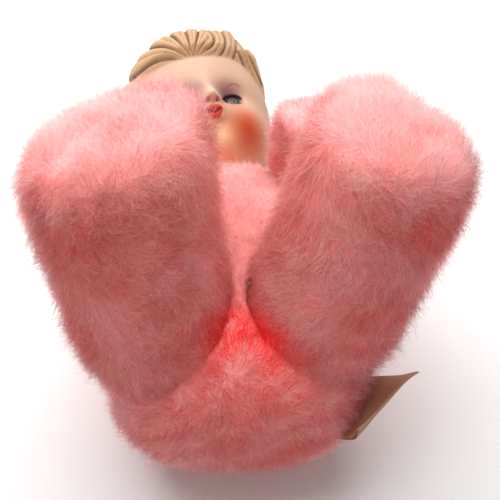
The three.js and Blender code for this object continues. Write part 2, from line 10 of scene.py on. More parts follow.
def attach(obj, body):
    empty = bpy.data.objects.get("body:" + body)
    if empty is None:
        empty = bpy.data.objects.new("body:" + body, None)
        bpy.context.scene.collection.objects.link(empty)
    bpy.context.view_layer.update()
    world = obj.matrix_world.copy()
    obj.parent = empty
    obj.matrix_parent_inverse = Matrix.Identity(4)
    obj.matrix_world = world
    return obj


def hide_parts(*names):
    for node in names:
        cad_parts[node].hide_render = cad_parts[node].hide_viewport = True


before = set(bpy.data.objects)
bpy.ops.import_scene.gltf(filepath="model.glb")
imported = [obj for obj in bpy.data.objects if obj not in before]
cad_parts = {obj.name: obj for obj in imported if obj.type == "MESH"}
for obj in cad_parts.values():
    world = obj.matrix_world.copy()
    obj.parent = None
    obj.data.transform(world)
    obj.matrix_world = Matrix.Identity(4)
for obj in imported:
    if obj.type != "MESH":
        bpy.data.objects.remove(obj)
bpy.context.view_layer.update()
mm = 0.001
scene = bpy.context.scene
print("frame loaded,", len(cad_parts), "nodes")


# small helpers for numbers and colours

def smoothStep(value, low, high):
    share = np.clip((value - low) / (high - low), 0, 1)
    return share * share * (3 - 2 * share)


def mound(distance, width):
    return np.exp(-((distance / width) ** 2))


def unit(vectors):
    return vectors / np.maximum(np.linalg.norm(vectors, axis=-1, keepdims=True), 1e-12)


def dot(a, b):
    return (a * b).sum(-1, keepdims=True)


def tint(red, green, blue):
    # screen colour from 0 to 255, as the linear colour that Blender mixes
    shares = np.array([red, green, blue]) / 255
    return np.where(shares <= 0.04045, shares / 12.92, ((shares + 0.055) / 1.055) ** 2.4)


def rgba(colour):
    return (*[float(c) for c in colour], 1)


def layer(paint, colour, cover):
    return paint + (colour - paint) * cover[:, None]


def drift(points, wave, seed):
    # slow random swell between about -1 and 1, wave is its length in metres
    rng = np.random.default_rng(seed)
    ways = unit(rng.normal(size=(9, 3))) * (2 * np.pi / wave) * rng.uniform(0.6, 1.6, (9, 1))
    phases = rng.uniform(0, 2 * np.pi, 9)
    return np.sin(points @ ways.T + phases).sum(-1) / 4


# mesh building

def meshFrom(name, verts, faces):
    mesh = bpy.data.meshes.new(name)
    mesh.vertices.add(len(verts))
    mesh.vertices.foreach_set("co", np.asarray(verts, np.float32).ravel())
    mesh.loops.add(faces.size)
    mesh.loops.foreach_set("vertex_index", np.asarray(faces, np.int32).ravel())
    mesh.polygons.add(len(faces))
    starts = np.arange(0, faces.size, faces.shape[1], dtype=np.int32)
    mesh.polygons.foreach_set("loop_start", starts)
    mesh.update(calc_edges=True)
    mesh.polygons.foreach_set("use_smooth", np.ones(len(faces), bool))
    return mesh


def addPiece(mesh, material, body):
    piece = bpy.data.objects.new(mesh.name, mesh)
    scene.collection.objects.link(piece)
    mesh.materials.append(material)
    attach(piece, body)
    return piece


def paintPoints(mesh, name, colours):
    full = np.ones((len(colours), 4), np.float32)
    full[:, : colours.shape[1]] = colours
    mesh.color_attributes.new(name, "FLOAT_COLOR", "POINT").data.foreach_set("color", full.ravel())


def ringFaces(rows, columns):
    # triangles of a closed skin of rings, with a tip at each end
    row, column = np.meshgrid(np.arange(rows - 1), np.arange(columns), indexing="ij")
    a = (row * columns + column).ravel()
    b = (row * columns + (column + 1) % columns).ravel()
    k = np.arange(columns)
    following = (k + 1) % columns
    last = (rows - 1) * columns
    first, end = rows * columns, rows * columns + 1
    return np.concatenate([
        np.stack([a, b, b + columns], 1),
        np.stack([a, b + columns, a + columns], 1),
        np.stack([np.full(columns, first), following, k], 1),
        np.stack([np.full(columns, end), last + k, last + following], 1),
    ])


def pointsOf(mesh):
    co = np.empty(len(mesh.vertices) * 3, np.float32)
    mesh.vertices.foreach_get("co", co)
    return co.reshape(-1, 3).astype(float)


def trianglesOf(mesh):
    mesh.calc_loop_triangles()
    corners = np.empty(len(mesh.loop_triangles) * 3, np.int32)
    mesh.loop_triangles.foreach_get("vertices", corners)
    return corners.reshape(-1, 3)


def normalsOf(points, triangles):
    a, b, c = (points[triangles[:, k]] for k in range(3))
    flat = np.cross(b - a, c - a)
    normals = np.zeros_like(points)
    for k in range(3):
        np.add.at(normals, triangles[:, k], flat)
    return unit(normals)


# node helpers

def addNode(tree, kind, label="", **values):
    node = tree.nodes.new(kind)
    node.label = label
    for name, value in values.items():
        if hasattr(node, name):
            setattr(node, name, value)
        else:
            node.inputs[name.replace("_", " ")].default_value = value
    return node


def join(tree, start, end):
    tree.links.new(start, end)


def newMaterial(name, **values):
    material = bpy.data.materials.new(name)
    material.use_nodes = True
    shader = material.node_tree.nodes["Principled BSDF"]
    for key, value in values.items():
        shader.inputs[key.replace("_", " ")].default_value = value
    return material, material.node_tree, shader


def buildMottle():
    # uneven dye, dirt and bloom: a shade to multiply with, a height and a roughness
    group = bpy.data.node_groups.new("surfaceMottle", "ShaderNodeTree")
    face = group.interface
    for name, value in (("Scale", 60), ("Shade", 0.1), ("Rough", 0.5), ("Rough Spread", 0.1)):
        face.new_socket(name, in_out="INPUT", socket_type="NodeSocketFloat").default_value = value
    face.new_socket("Tone", in_out="OUTPUT", socket_type="NodeSocketColor")
    face.new_socket("Roughness", in_out="OUTPUT", socket_type="NodeSocketFloat")
    face.new_socket("Height", in_out="OUTPUT", socket_type="NodeSocketFloat")
    ins = addNode(group, "NodeGroupInput")
    outs = addNode(group, "NodeGroupOutput")
    place = addNode(group, "ShaderNodeTexCoord")
    cloud = addNode(group, "ShaderNodeTexNoise", "cloud", Detail=4.0, Roughness=0.6)
    join(group, place.outputs["Object"], cloud.inputs["Vector"])
    join(group, ins.outputs["Scale"], cloud.inputs["Scale"])
    centred = addNode(group, "ShaderNodeMath", operation="SUBTRACT")
    centred.inputs[1].default_value = 0.5
    join(group, cloud.outputs["Fac"], centred.inputs[0])
    spread = addNode(group, "ShaderNodeMath", operation="MULTIPLY")
    join(group, centred.outputs[0], spread.inputs[0])
    join(group, ins.outputs["Shade"], spread.inputs[1])
    shade = addNode(group, "ShaderNodeMath", operation="ADD")
    shade.inputs[1].default_value = 1
    join(group, spread.outputs[0], shade.inputs[0])
    tone = addNode(group, "ShaderNodeCombineColor")
    for k in range(3):
        join(group, shade.outputs[0], tone.inputs[k])
    rough = addNode(group, "ShaderNodeMath", operation="MULTIPLY_ADD")
    join(group, centred.outputs[0], rough.inputs[0])
    join(group, ins.outputs["Rough Spread"], rough.inputs[1])
    join(group, ins.outputs["Rough"], rough.inputs[2])
    join(group, tone.outputs[0], outs.inputs["Tone"])
    join(group, rough.outputs[0], outs.inputs["Roughness"])
    join(group, cloud.outputs["Fac"], outs.inputs["Height"])
    return group


mottle = buildMottle()


def addMottle(tree, shader, colour, scale, shade, rough, roughSpread, bump):
    # multiplies a colour by the mottle and gives it the mottle's roughness and bump
    place = addNode(tree, "ShaderNodeGroup", node_tree=mottle)
    for name, value in zip(("Scale", "Shade", "Rough", "Rough Spread"), (scale, shade, rough, roughSpread)):
        place.inputs[name].default_value = value
    product = addNode(tree, "ShaderNodeMix", data_type="RGBA", blend_type="MULTIPLY")
    product.inputs[0].default_value = 1
    join(tree, colour, product.inputs[6])
    join(tree, place.outputs["Tone"], product.inputs[7])
    join(tree, product.outputs[2], shader.inputs["Base Color"])
    join(tree, place.outputs["Roughness"], shader.inputs["Roughness"])
    relief = addNode(tree, "ShaderNodeBump", Strength=bump, Distance=0.0004)
    join(tree, place.outputs["Height"], relief.inputs["Height"])
    join(tree, relief.outputs[0], shader.inputs["Normal"])


# camera, fitted to the photograph

cameraPlan = {
    "turn": -4, "rise": 57, "distance": 0.46, "lookAt": (0, 0.034, 0.09),
    "focalPixels": 734, "photoPixels": 500, "sensor": 36, "shift": (0.036, 0.036),
}


def addCamera(plan):
    a, e = math.radians(plan["turn"]), math.radians(plan["rise"])
    back = Vector((math.sin(a) * math.cos(e), -math.cos(a) * math.cos(e), math.sin(e)))
    right = Vector((math.cos(a), math.sin(a), 0))
    up = back.cross(right)
    camera = bpy.data.objects.new("camera", bpy.data.cameras.new("camera"))
    scene.collection.objects.link(camera)
    spot = Vector(plan["lookAt"]) + back * plan["distance"]
    camera.matrix_world = Matrix((right, up, back)).transposed().to_4x4()
    camera.location = spot
    camera.data.sensor_width = plan["sensor"]
    camera.data.lens = plan["sensor"] * (plan["focalPixels"] / plan["photoPixels"])
    camera.data.shift_x, camera.data.shift_y = plan["shift"]
    camera.data.clip_start, camera.data.clip_end = 0.01, 20
    scene.camera = camera


addCamera(cameraPlan)


# floor and light

stagePlan = {
    "floorColour": (0.97, 0.967, 0.965), "floorReach": 3.0,
    "skyLight": 0.28, "keyPower": 29.0, "keySize": 1.5, "keySpot": (-0.12, 0.68, 1.25),
    "keyAim": (0, 0.05, 0.1), "fillPower": 0.4, "fillSize": 1.0, "fillSpot": (-0.5, -0.9, 0.9),
}


def addLamp(name, power, size, spot, aim):
    lamp = bpy.data.lights.new(name, "AREA")
    lamp.energy, lamp.size = power, size
    holder = bpy.data.objects.new(name, lamp)
    scene.collection.objects.link(holder)
    holder.location = spot
    holder.rotation_mode = "QUATERNION"
    holder.rotation_quaternion = (Vector(aim) - Vector(spot)).to_track_quat("-Z", "Y")


def lightWorld(plan):
    # a soft sky that lights the doll, and plain white where the camera or a shine looks past it
    scene.view_settings.view_transform = "Standard"
    world = bpy.data.worlds.new("studio")
    scene.world = world
    world.use_nodes = True
    tree = world.node_tree
    ambient = tree.nodes["Background"]
    ambient.inputs["Color"].default_value = (1, 1, 1, 1)
    ambient.inputs["Strength"].default_value = plan["skyLight"]
    shown = addNode(tree, "ShaderNodeBackground", Color=(1, 1, 1, 1), Strength=1.0)
    path = addNode(tree, "ShaderNodeLightPath")
    seen = addNode(tree, "ShaderNodeMath", operation="MAXIMUM")
    join(tree, path.outputs["Is Camera Ray"], seen.inputs[0])
    join(tree, path.outputs["Is Glossy Ray"], seen.inputs[1])
    clear = addNode(tree, "ShaderNodeMath", operation="MAXIMUM")
    join(tree, seen.outputs[0], clear.inputs[0])
    join(tree, path.outputs["Is Transmission Ray"], clear.inputs[1])
    choose = addNode(tree, "ShaderNodeMixShader")
    join(tree, clear.outputs[0], choose.inputs[0])
    join(tree, ambient.outputs[0], choose.inputs[1])
    join(tree, shown.outputs[0], choose.inputs[2])
    join(tree, choose.outputs[0], tree.nodes["World Output"].inputs[0])


def layFloor(plan):
    reach = plan["floorReach"]
    corners = np.array([[-reach, -reach, 0], [reach, -reach, 0], [reach, reach, 0], [-reach, reach, 0]])
    paper, _, _ = newMaterial("floorPaper", Base_Color=(*plan["floorColour"], 1), Roughness=0.9)
    floor = bpy.data.objects.new("floor", meshFrom("floor", corners, np.array([[0, 1, 2, 3]])))
    scene.collection.objects.link(floor)
    floor.data.materials.append(paper)


lightWorld(stagePlan)
layFloor(stagePlan)
for lamp in ("key", "fill"):
    power, size, spot = (stagePlan[lamp + part] for part in ("Power", "Size", "Spot"))
    addLamp(lamp, power, size, spot, stagePlan["keyAim"])
print("camera, floor and lamps set")


# moulded head, in its own millimetres: x to the doll's left, y to the crown, z the way it looks

headPlan = {
    "pivot": (0, 95, 53.3), "lean": 10.8, "pitch": 5.5, "turn": 6, "rise": 86,
    "halfWidth": 55, "jaw": 60, "crown": 68, "halfDepth": 58, "rows": 216, "columns": 440,
    "eyeSpacing": 36, "eyeDrop": 13.5, "eyeRadius": 10.5, "eyeProud": 3.2, "socket": 11,
    "hairline": 17, "templeDrop": 9, "napeDrop": 49, "hairThick": 2.5, "quiff": 8.5, "curl": 6, "temple": 5,
    "lockDepth": 2.6, "lockStep": 24, "curlStep": 8.2, "templeStep": 7.2,
    "strandDepth": 1.5, "fineDepth": 0.25,
    "lookRight": (0.969, -0.227, 0.091), "lookUp": (0.119, 0.763, 0.636),
    "partSpot": (-2, 47.5), "rollSpot": (5.8, 15), "combStep": 14, "crownSpot": 20,
    "earSpot": (-21.5, -4), "earSize": (15, 9), "earRise": 5,
}


def headFrame(plan):
    return (Matrix.Translation(plan["pivot"])
            @ Matrix.Rotation(math.radians(plan["lean"]), 4, "Z")
            @ Matrix.Rotation(math.radians(plan["pitch"]), 4, "X")
            @ Matrix.Rotation(math.radians(plan["turn"]), 4, "Y")
            @ Matrix.Translation((0, plan["rise"], 0)))


headMatrix = np.array(headFrame(headPlan))


def toRow(points):
    return (points @ headMatrix[:3, :3].T + headMatrix[:3, 3]) * mm


def headRings(rows, columns):
    # directions round the line from the back of the head to the middle of the face, closest at the features
    samples = np.linspace(0, 180, 4001)
    total = np.cumsum(0.5 + 0.7 * smoothStep(samples, 40, 70) + 1.2 * mound(180 - samples, 42))
    latitude = np.radians(np.interp((np.arange(rows) + 1) / (rows + 1) * total[-1], total, samples))
    axis = unit(np.array([0, -0.42, 1.0]))
    brow = np.cross(axis, [1.0, 0, 0])
    angle = 2 * np.pi * np.arange(columns) / columns
    ringWay = np.cos(angle)[:, None] * np.array([1.0, 0, 0]) + np.sin(angle)[:, None] * brow
    ways = -np.cos(latitude)[:, None, None] * axis + np.sin(latitude)[:, None, None] * ringWay[None]
    return np.concatenate([ways.reshape(-1, 3), [-axis], [axis]])


def skullPoints(ways):
    tall = np.where(ways[:, 1] > 0, headPlan["crown"], headPlan["jaw"])
    wide, deep = (np.full(len(ways), headPlan[size]) for size in ("halfWidth", "halfDepth"))
    reach = np.stack([wide, tall, deep], 1)
    return ways / np.linalg.norm(ways / reach, axis=1, keepdims=True)


def eyeCentre(side):
    x, drop = headPlan["eyeSpacing"] / 2, headPlan["eyeDrop"]
    off = (x / headPlan["halfWidth"]) ** 2 + (drop / headPlan["jaw"]) ** 2
    z = headPlan["halfDepth"] * math.sqrt(1 - off)
    return np.array([side * x, -drop, z - headPlan["socket"] + headPlan["eyeProud"] - headPlan["eyeRadius"]])


def partingOfLips(x, y):
    return mound(y + 13.5 - 0.05 * x**2, 0.9)


def faceRelief(plain):
    x = np.abs(plain[:, 0])
    y = plain[:, 1] + headPlan["eyeDrop"]
    relief = -headPlan["socket"] * mound(x - headPlan["eyeSpacing"] / 2, 10.5) * mound(y, 8)
    # height, place across and its width, place above the eyes and its width
    swells = (
        (3, 0, 38, 32, 22),  # forehead
        (2, 0, 5, 5, 9),  # bridge of the nose
        (8.5, 0, 5.2, -2.8, 5),  # tip of the nose
        (2.4, 5.4, 3, -4.8, 3),  # wings of the nose
        (2.5, 0, 12, -13, 8),  # round the mouth
        (3, 3, 4, -11.2, 2.4),  # upper lip
        (3, 0, 5.5, -15.8, 2.6),  # lower lip
        (6, 29, 17, -20, 14),  # cheeks
        (7, 0, 13, -31, 9),  # chin
        (-2.6, 2.9, 1.25, -6.6, 1.3),  # nostrils
        (-0.7, 0, 1.5, -9, 1.4),  # groove over the lip
        (-0.8, 0, 3.5, -24, 2),  # dimple of the chin
    )
    for rise, across, wide, up, tall in swells:
        relief = relief + rise * mound(x - across, wide) * mound(y - up, tall)
    relief = relief - 2.2 * mound(x, 4) * partingOfLips(x, y)
    return np.where(plain[:, 2] > 0, relief, 0)


def earRelief(plain):
    # a rim round a bowl, with a fold inside; returns the height and how deep in the bowl a point lies
    b = (plain[:, 1] - headPlan["earSpot"][0]) / headPlan["earSize"][0]
    c = (plain[:, 2] - headPlan["earSpot"][1]) / headPlan["earSize"][1]
    r = np.hypot(b, c + 0.12 * b)
    inside = smoothStep(-r, -1.04, -0.84) * (np.abs(plain[:, 0]) > 25)
    rim = mound(r - 0.8, 0.17) * (1 - 0.75 * smoothStep(c, 0.35, 0.8))
    fold = 0.45 * mound(r - 0.42, 0.13) * smoothStep(b, -0.5, 0.1)
    return headPlan["earRise"] * inside * (0.25 + rim + fold), inside * (1 - np.clip(rim + fold, 0, 1))


def aboveHairline(plain):
    degrees = np.degrees(np.abs(np.arctan2(plain[:, 0], plain[:, 2])))
    line = headPlan["hairline"] + 3 * mound(degrees - 30, 16)
    line -= headPlan["templeDrop"] * smoothStep(degrees, 40, 65)
    line -= headPlan["napeDrop"] * smoothStep(degrees, 84, 125)
    return plain[:, 1] - line


def hairRise(plain):
    x, y, z = plain.T
    above = aboveHairline(plain)
    quiff = headPlan["quiff"] * mound(np.degrees(np.arctan2(x, z)), 55) * mound(above - 20, 18)
    roll = headPlan["curl"] * mound(x - 26, 8) * mound(y - 41, 9)
    temple = headPlan["temple"] * mound(x - 39, 8) * mound(y - 28, 8)
    return smoothStep(above, -0.5, 6) * (headPlan["hairThick"] + quiff + (roll + temple) * (z > 0))


def lockedFront(ways):
    # 1 where the locks are modelled one by one, 0 behind
    across = np.degrees(np.arcsin(ways[:, 0]))
    over = np.degrees(np.arctan2(ways[:, 1], ways[:, 2]))
    return smoothStep(across, -78, -58) * smoothStep(-across, -68, -52) * smoothStep(-over, -84, -66)


def hairRelief(ways, plain):
    # locks as they look from below the chin: swept back from the middle of the hairline, curled round the
    # roll, combed down at the temple; returns height, cover, and how deep in a groove each point lies
    above = aboveHairline(plain)
    spot = plain + ways * hairRise(plain)[:, None]
    slow = drift(plain * mm, 0.03, 5)
    wide = spot @ np.array(headPlan["lookRight"]) - headPlan["partSpot"][0]
    high = spot @ np.array(headPlan["lookUp"]) - headPlan["partSpot"][1]
    reach = np.hypot(wide, high)
    sweep = (np.degrees(np.arctan2(-wide, high)) + 8 * np.sin(reach / 11)) / headPlan["lockStep"]
    curl = np.hypot(wide - headPlan["rollSpot"][0], high - headPlan["rollSpot"][1]) / headPlan["curlStep"]
    temple = (0.9 * wide + 0.45 * high - 2.7) / headPlan["templeStep"]
    behind = headPlan["crownSpot"] - plain[:, 2]
    combed = np.degrees(np.arctan2(plain[:, 0], behind)) / headPlan["combStep"]
    onRoll, onTemple = smoothStep(wide, 4, 12), smoothStep(wide, 27, 33)
    front = lockedFront(ways)

    def ridge(rate, bend):
        # locks, strands or fine lines, by how many there are to a lock
        phases = (rate * phase + bend * slow for phase in (sweep, curl, temple, combed))
        part = [np.sqrt(np.abs(np.sin(np.pi * phase))) for phase in phases]
        ahead = part[0] + (part[1] - part[0]) * onRoll
        ahead = ahead + (part[2] - ahead) * onTemple
        return ahead * front + part[3] * (1 - front)

    main, strand, fine = ridge(1, 0), ridge(2, 0.12), ridge(5, 0.5)
    held = smoothStep(above, 0, 4)
    offCrown = smoothStep(np.hypot(plain[:, 0], behind), 8, 26)
    stranded = 0.45 * offCrown + (1 - 0.45 * offCrown) * front
    height = headPlan["lockDepth"] * front * smoothStep(reach, 2, 9) * (main - 0.6)
    height += headPlan["strandDepth"] * stranded * smoothStep(reach, 7, 15) * (strand - 0.7)
    height += headPlan["fineDepth"] * front * smoothStep(reach, 12, 22) * (fine - 0.7)
    strand = strand + (1 - strand) * (1 - front) * (1 - offCrown)
    fine = fine + (1 - fine) * (1 - front)
    ridged = 0.45 * main * front + 0.45 * (1 - front) + 0.45 * strand + 0.1 * fine
    return hairRise(plain) + held * height, smoothStep(above, -0.6, 2), 1 - ridged


lidPlan = {"thick": 0.8, "halfWidth": 7.6, "arch": 4.6, "lower": 3.2, "lowerCurve": 0.02, "openDepth": 3.0}


def lidded(ways, distance):
    # draws the lids over each eye and opens them in the shape of the eye: arched above, nearly flat below
    opening, rim = np.zeros(len(ways)), np.zeros(len(ways))
    for side in (1, -1):
        centre = eyeCentre(side)
        along = ways @ centre
        miss = (centre @ centre) - along**2
        reach = headPlan["eyeRadius"] + lidPlan["thick"]
        over = along + np.sqrt(np.maximum(reach**2 - miss, 0))
        spot = ways * distance[:, None] - centre
        u, v = spot[:, 0] * side, spot[:, 1]
        arch = lidPlan["arch"] * np.sqrt(np.maximum(1 - (u / lidPlan["halfWidth"]) ** 2, 0))
        inner = np.minimum(arch - v, v + lidPlan["lower"] + lidPlan["lowerCurve"] * u**2)
        near = smoothStep(reach**2 - miss, 0, 40) * (ways[:, 2] > 0)
        distance = distance + (np.maximum(distance, over) - distance) * near
        inside = smoothStep(inner, -0.15, 0.35) * (np.abs(u) < lidPlan["halfWidth"]) * near
        distance = distance - inside * (distance - (over - lidPlan["openDepth"]))
        opening = np.maximum(opening, inside)
        lash = mound(np.minimum(arch - v, 3) + 0.3, 0.7) * smoothStep(v, -2.6, -0.5)
        rim = np.maximum(rim, near * lash * smoothStep(-np.abs(u), -7.9, -7.2))
    return distance, opening, rim


def lipShape(x, y):
    # 1 on the puckered lips: a slight dip above, a full round below
    peak = -9 - 0.4 * mound(x, 1.4) - 0.06 * x**2
    low = -17.6 + 0.13 * x**2
    return smoothStep(np.minimum(peak - y, y - low), -0.5, 0.7) * smoothStep(-x, -6.2, -4.8)


def headPaint(plain, hair, groove, bowl, opening, rim):
    # thin coats over the bare vinyl, with painted light and painted shade among them, then painted shade in
    # the ears, the hair with painted shade in its grooves, and the lids
    x = np.abs(plain[:, 0])
    y = plain[:, 1] + headPlan["eyeDrop"]
    front = (plain[:, 2] > 0).astype(float)
    brow = mound(y - 9.8 + 0.075 * (x - 21.7) ** 2, 0.5) * smoothStep(-np.abs(x - 20.5), -6, -4.5)
    lips = lipShape(x, y)
    coatsAndPaintedLight = (
        (tint(224, 180, 130), 0.85 * smoothStep(-y, 6, 26)),  # painted warm light, bounced up from the pile onto the lower face
        (tint(255, 222, 184), 0.7 * smoothStep(-y, 27, 42)),  # painted light under the chin
        (tint(252, 216, 170), 0.7 * mound(x - 4, 9) * mound(y + 27, 7)),  # painted highlight on the chin
        (tint(198, 80, 40), 0.95 * mound(x - 21, 13) * mound(y + 21, 12.5)),  # blush
        (tint(192, 130, 94), 0.7 * smoothStep(x, 28, 48)),  # painted shade on the temples
        (tint(206, 116, 70), 0.5 * smoothStep(x, 24, 40) * smoothStep(-y, 22, 38)),  # painted warm shade along the jaw
        (tint(150, 118, 134), 0.75 * mound(x - 16, 9.5) * mound(y - 3.5, 5.5)),  # over the eyes
        (tint(164, 104, 88), 0.8 * brow),
        (tint(240, 206, 178), 0.6 * mound(x, 6) * mound(y + 3, 6)),  # painted light on the nose
        (tint(122, 66, 44), 0.9 * mound(x - 2.9, 1.35) * mound(y + 6.6, 1.2)),  # painted shade in the nostrils
        (tint(196, 120, 84), 0.5 * mound(x - 5.4, 3.4) * mound(y + 7.4, 1.6)),  # painted shade beside the nose
        (tint(196, 34, 14), lips),
        # painted shade in the parting of the lips
        (tint(148, 18, 10), lips * partingOfLips(x, y) * mound(x, 3.8)),
        (tint(226, 140, 128), 0.5 * mound(plain[:, 0] - 4, 1.6) * mound(y - 17.5, 1.8)),  # spot on the brow
    )
    paint = np.tile(tint(208, 170, 144), (len(plain), 1))
    for colour, cover in coatsAndPaintedLight:
        paint = layer(paint, colour, front * cover)
    # painted shade in the bowl of each ear
    paint = layer(paint, tint(196, 108, 70), 0.7 * bowl)
    blond, shaded = tint(209, 167, 125), tint(98, 58, 32)
    locks = blond + (shaded - blond) * smoothStep(groove, 0.08, 0.55)[:, None]
    paint = paint + (locks - paint) * hair[:, None]
    paint = layer(paint, tint(40, 32, 34), np.clip(1.3 * rim, 0, 1))
    # painted shade inside the eye openings, round the eyes
    return layer(paint, tint(60, 44, 42), 0.8 * opening)


def buildVinyl():
    material, tree, shader = newMaterial("paintedVinyl", Specular_IOR_Level=0.4)
    paint = addNode(tree, "ShaderNodeAttribute", attribute_name="paint")
    addMottle(tree, shader, paint.outputs["Color"], 90, 0.1, 0.5, 0.2, 0.1)
    return material


vinyl = buildVinyl()


def addHead(plan):
    ways = headRings(plan["rows"], plan["columns"])
    plain = skullPoints(ways)
    height, hair, groove = hairRelief(ways, plain)
    ear, bowl = earRelief(plain)
    hair = hair * (1 - smoothStep(ear, 0.2, 1))
    distance = np.linalg.norm(plain, axis=1) + faceRelief(plain) + np.maximum(height * (ear < 0.3), ear)
    distance, opening, rim = lidded(ways, distance)
    mesh = meshFrom("head", toRow(ways * distance[:, None]), ringFaces(plan["rows"], plan["columns"]))
    paintPoints(mesh, "paint", headPaint(plain, hair, groove, bowl, opening, rim))
    piece = addPiece(mesh, vinyl, "head")
    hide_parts("head_shell")


def lathe(profile, columns, ruffle=0.0):
    # a ring or stub turned round the neck, its profile (radius, y) in the head's millimetres
    profile = np.array(profile, float)
    angle = 2 * np.pi * np.arange(columns) / columns
    wave = 1 + ruffle * np.sin(19 * angle + 0.8 * np.sin(5 * angle))
    x = profile[:, :1] * np.cos(angle) * wave
    z = profile[:, :1] * np.sin(angle) * wave
    y = np.repeat(profile[:, 1:], columns, 1)
    return np.stack([x, y, z], 2).reshape(-1, 3)


def tubeFaces(rows, columns):
    # triangles of a ring whose last row joins its first
    row, column = np.meshgrid(np.arange(rows), np.arange(columns), indexing="ij")
    a = (row * columns + column).ravel()
    b = (row * columns + (column + 1) % columns).ravel()
    c = (((row + 1) % rows) * columns + (column + 1) % columns).ravel()
    d = (((row + 1) % rows) * columns + column).ravel()
    return np.concatenate([np.stack([a, b, c], 1), np.stack([a, c, d], 1)])


neckPlan = {"radius": 15, "bulb": 20, "top": -50, "end": -46, "endRadius": 9, "columns": 64}
collarPlan = {
    "inner": 15.4, "outer": 18.4, "middle": -62, "half": 3, "ruffle": 0.03, "rows": 20, "columns": 240,
}
tiePlan = {"ring": 19.6, "radius": 1.4, "twists": 45, "rows": 20, "columns": 300}


def addNeckStub(plan):
    # the neck under the head, with the bulb that the collar holds
    rise, bulb = headPlan["rise"], plan["bulb"]
    swing = np.linspace(0.02, math.pi - math.asin(plan["radius"] / bulb), 24)
    profile = [(bulb * math.sin(a), -rise - bulb * math.cos(a)) for a in swing]
    profile += [(plan["radius"], plan["top"]), (plan["endRadius"], plan["end"])]
    points = lathe(profile, plan["columns"])
    tips = [[0, -rise - bulb, 0], [0, plan["end"], 0]]
    faces = ringFaces(len(profile), plan["columns"])
    stub = outward("neck_stub", toRow(np.concatenate([points, tips])), faces)
    paintPoints(stub, "paint", np.tile(tint(236, 206, 176), (len(stub.vertices), 1)))
    addPiece(stub, vinyl, "head")


def addCollar(plan):
    # gathered cloth, drawn in where the tie lies
    inner, outer = plan["inner"], plan["outer"]
    turn = 2 * np.pi * np.arange(plan["rows"]) / plan["rows"]
    waist = 1 - 0.06 * mound(np.sin(turn), 0.5) * (np.cos(turn) > 0)
    radius = ((inner + outer) / 2 + (outer - inner) / 2 * np.cos(turn)) * waist
    ring = np.stack([radius, plan["middle"] + plan["half"] * np.sin(turn)], 1)
    points = lathe(ring, plan["columns"], plan["ruffle"])
    gathers = outward("collar_gathers", toRow(points), tubeFaces(plan["rows"], plan["columns"]))
    collar = addPiece(gathers, backing, "neck")
    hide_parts("neck_collar")


def addTie(plan):
    # twisted cord round the collar
    turn = (2 * np.pi * np.arange(plan["rows"]) / plan["rows"])[:, None]
    around = 2 * np.pi * np.arange(plan["columns"]) / plan["columns"]
    strand = plan["radius"] * (1 - 0.12 * np.abs(np.sin(1.5 * turn + plan["twists"] * around)))
    reach = plan["ring"] + strand * np.cos(turn)
    high = collarPlan["middle"] + strand * np.sin(turn)
    points = np.stack([reach * np.cos(around), high, reach * np.sin(around)], 2).reshape(-1, 3)
    cordMesh = outward("neck_cord", toRow(points), tubeFaces(plan["rows"], plan["columns"]))
    cotton, _, _ = newMaterial("cottonCord", Base_Color=rgba(tint(232, 220, 200)), Roughness=0.9)
    tie = addPiece(cordMesh, cotton, "neck")
    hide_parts("neck_tie")


# eyes, set in the sockets

eyePlan = {"iris": 25, "pupil": 10, "cornea": 0.3, "gaze": (0.0, 0.0, 1.0), "rows": 70, "columns": 96}


def buildEye():
    material, tree, shader = newMaterial(
        "glassyEye", Roughness=0.15, Specular_IOR_Level=0.3, Coat_Weight=0.2, Coat_Roughness=0.04)
    paint = addNode(tree, "ShaderNodeAttribute", attribute_name="paint")
    join(tree, paint.outputs["Color"], shader.inputs["Base Color"])
    return material


eyeMaterial = buildEye()


def addEye(name, node, side, plan):
    rows, columns = plan["rows"], plan["columns"]
    polar = np.pi * (np.arange(rows) + 1) / (rows + 1)
    angle = 2 * np.pi * np.arange(columns) / columns
    gaze = unit(np.array(plan["gaze"]) * np.array([side, 1, 1]))
    right = unit(np.cross([0, 1.0, 0], gaze))
    up = np.cross(gaze, right)
    ringWay = np.cos(angle)[:, None] * right + np.sin(angle)[:, None] * up
    ways = -np.cos(polar)[:, None, None] * gaze + np.sin(polar)[:, None, None] * ringWay[None]
    ways = np.concatenate([ways.reshape(-1, 3), [-gaze], [gaze]])
    turn = np.concatenate([np.tile(angle, rows), [0, 0]])
    off = np.degrees(np.arccos(np.clip(ways @ gaze, -1, 1)))
    points = eyeCentre(side) + ways * (headPlan["eyeRadius"] + plan["cornea"] * mound(off, 20))[:, None]
    # the white of the eye, painted grey-brown: painted shade under the lids
    paint = np.tile(tint(128, 108, 92), (len(ways), 1))
    streak = 0.5 + 0.25 * np.sin(41 * turn) + 0.25 * np.sin(23 * turn + 1)
    pale, dark = tint(98, 84, 72), tint(50, 46, 42)
    iris = pale + (dark - pale) * streak[:, None]
    inIris = smoothStep(-off, -plan["iris"] - 1, -plan["iris"] + 1)
    paint = paint + (iris - paint) * inIris[:, None]
    paint = layer(paint, tint(36, 34, 38), 0.9 * mound(off - plan["iris"], 2.6))
    paint = layer(paint, tint(158, 146, 130), 0.6 * mound(off - plan["pupil"] - 4.5, 2.2))
    paint = layer(paint, tint(30, 24, 22), smoothStep(-off, -plan["pupil"] - 1.5, -plan["pupil"] + 1))
    mesh = meshFrom(name, toRow(points), ringFaces(rows, columns))
    paintPoints(mesh, "paint", paint)
    piece = addPiece(mesh, eyeMaterial, "head")
    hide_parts(node)


addHead(headPlan)
addEye("eye_left", "left_eye", 1, eyePlan)
addEye("eye_right", "right_eye", -1, eyePlan)
print("head moulded, eyes set")


# limbs: where each is rooted, which way it points, how its pile lies

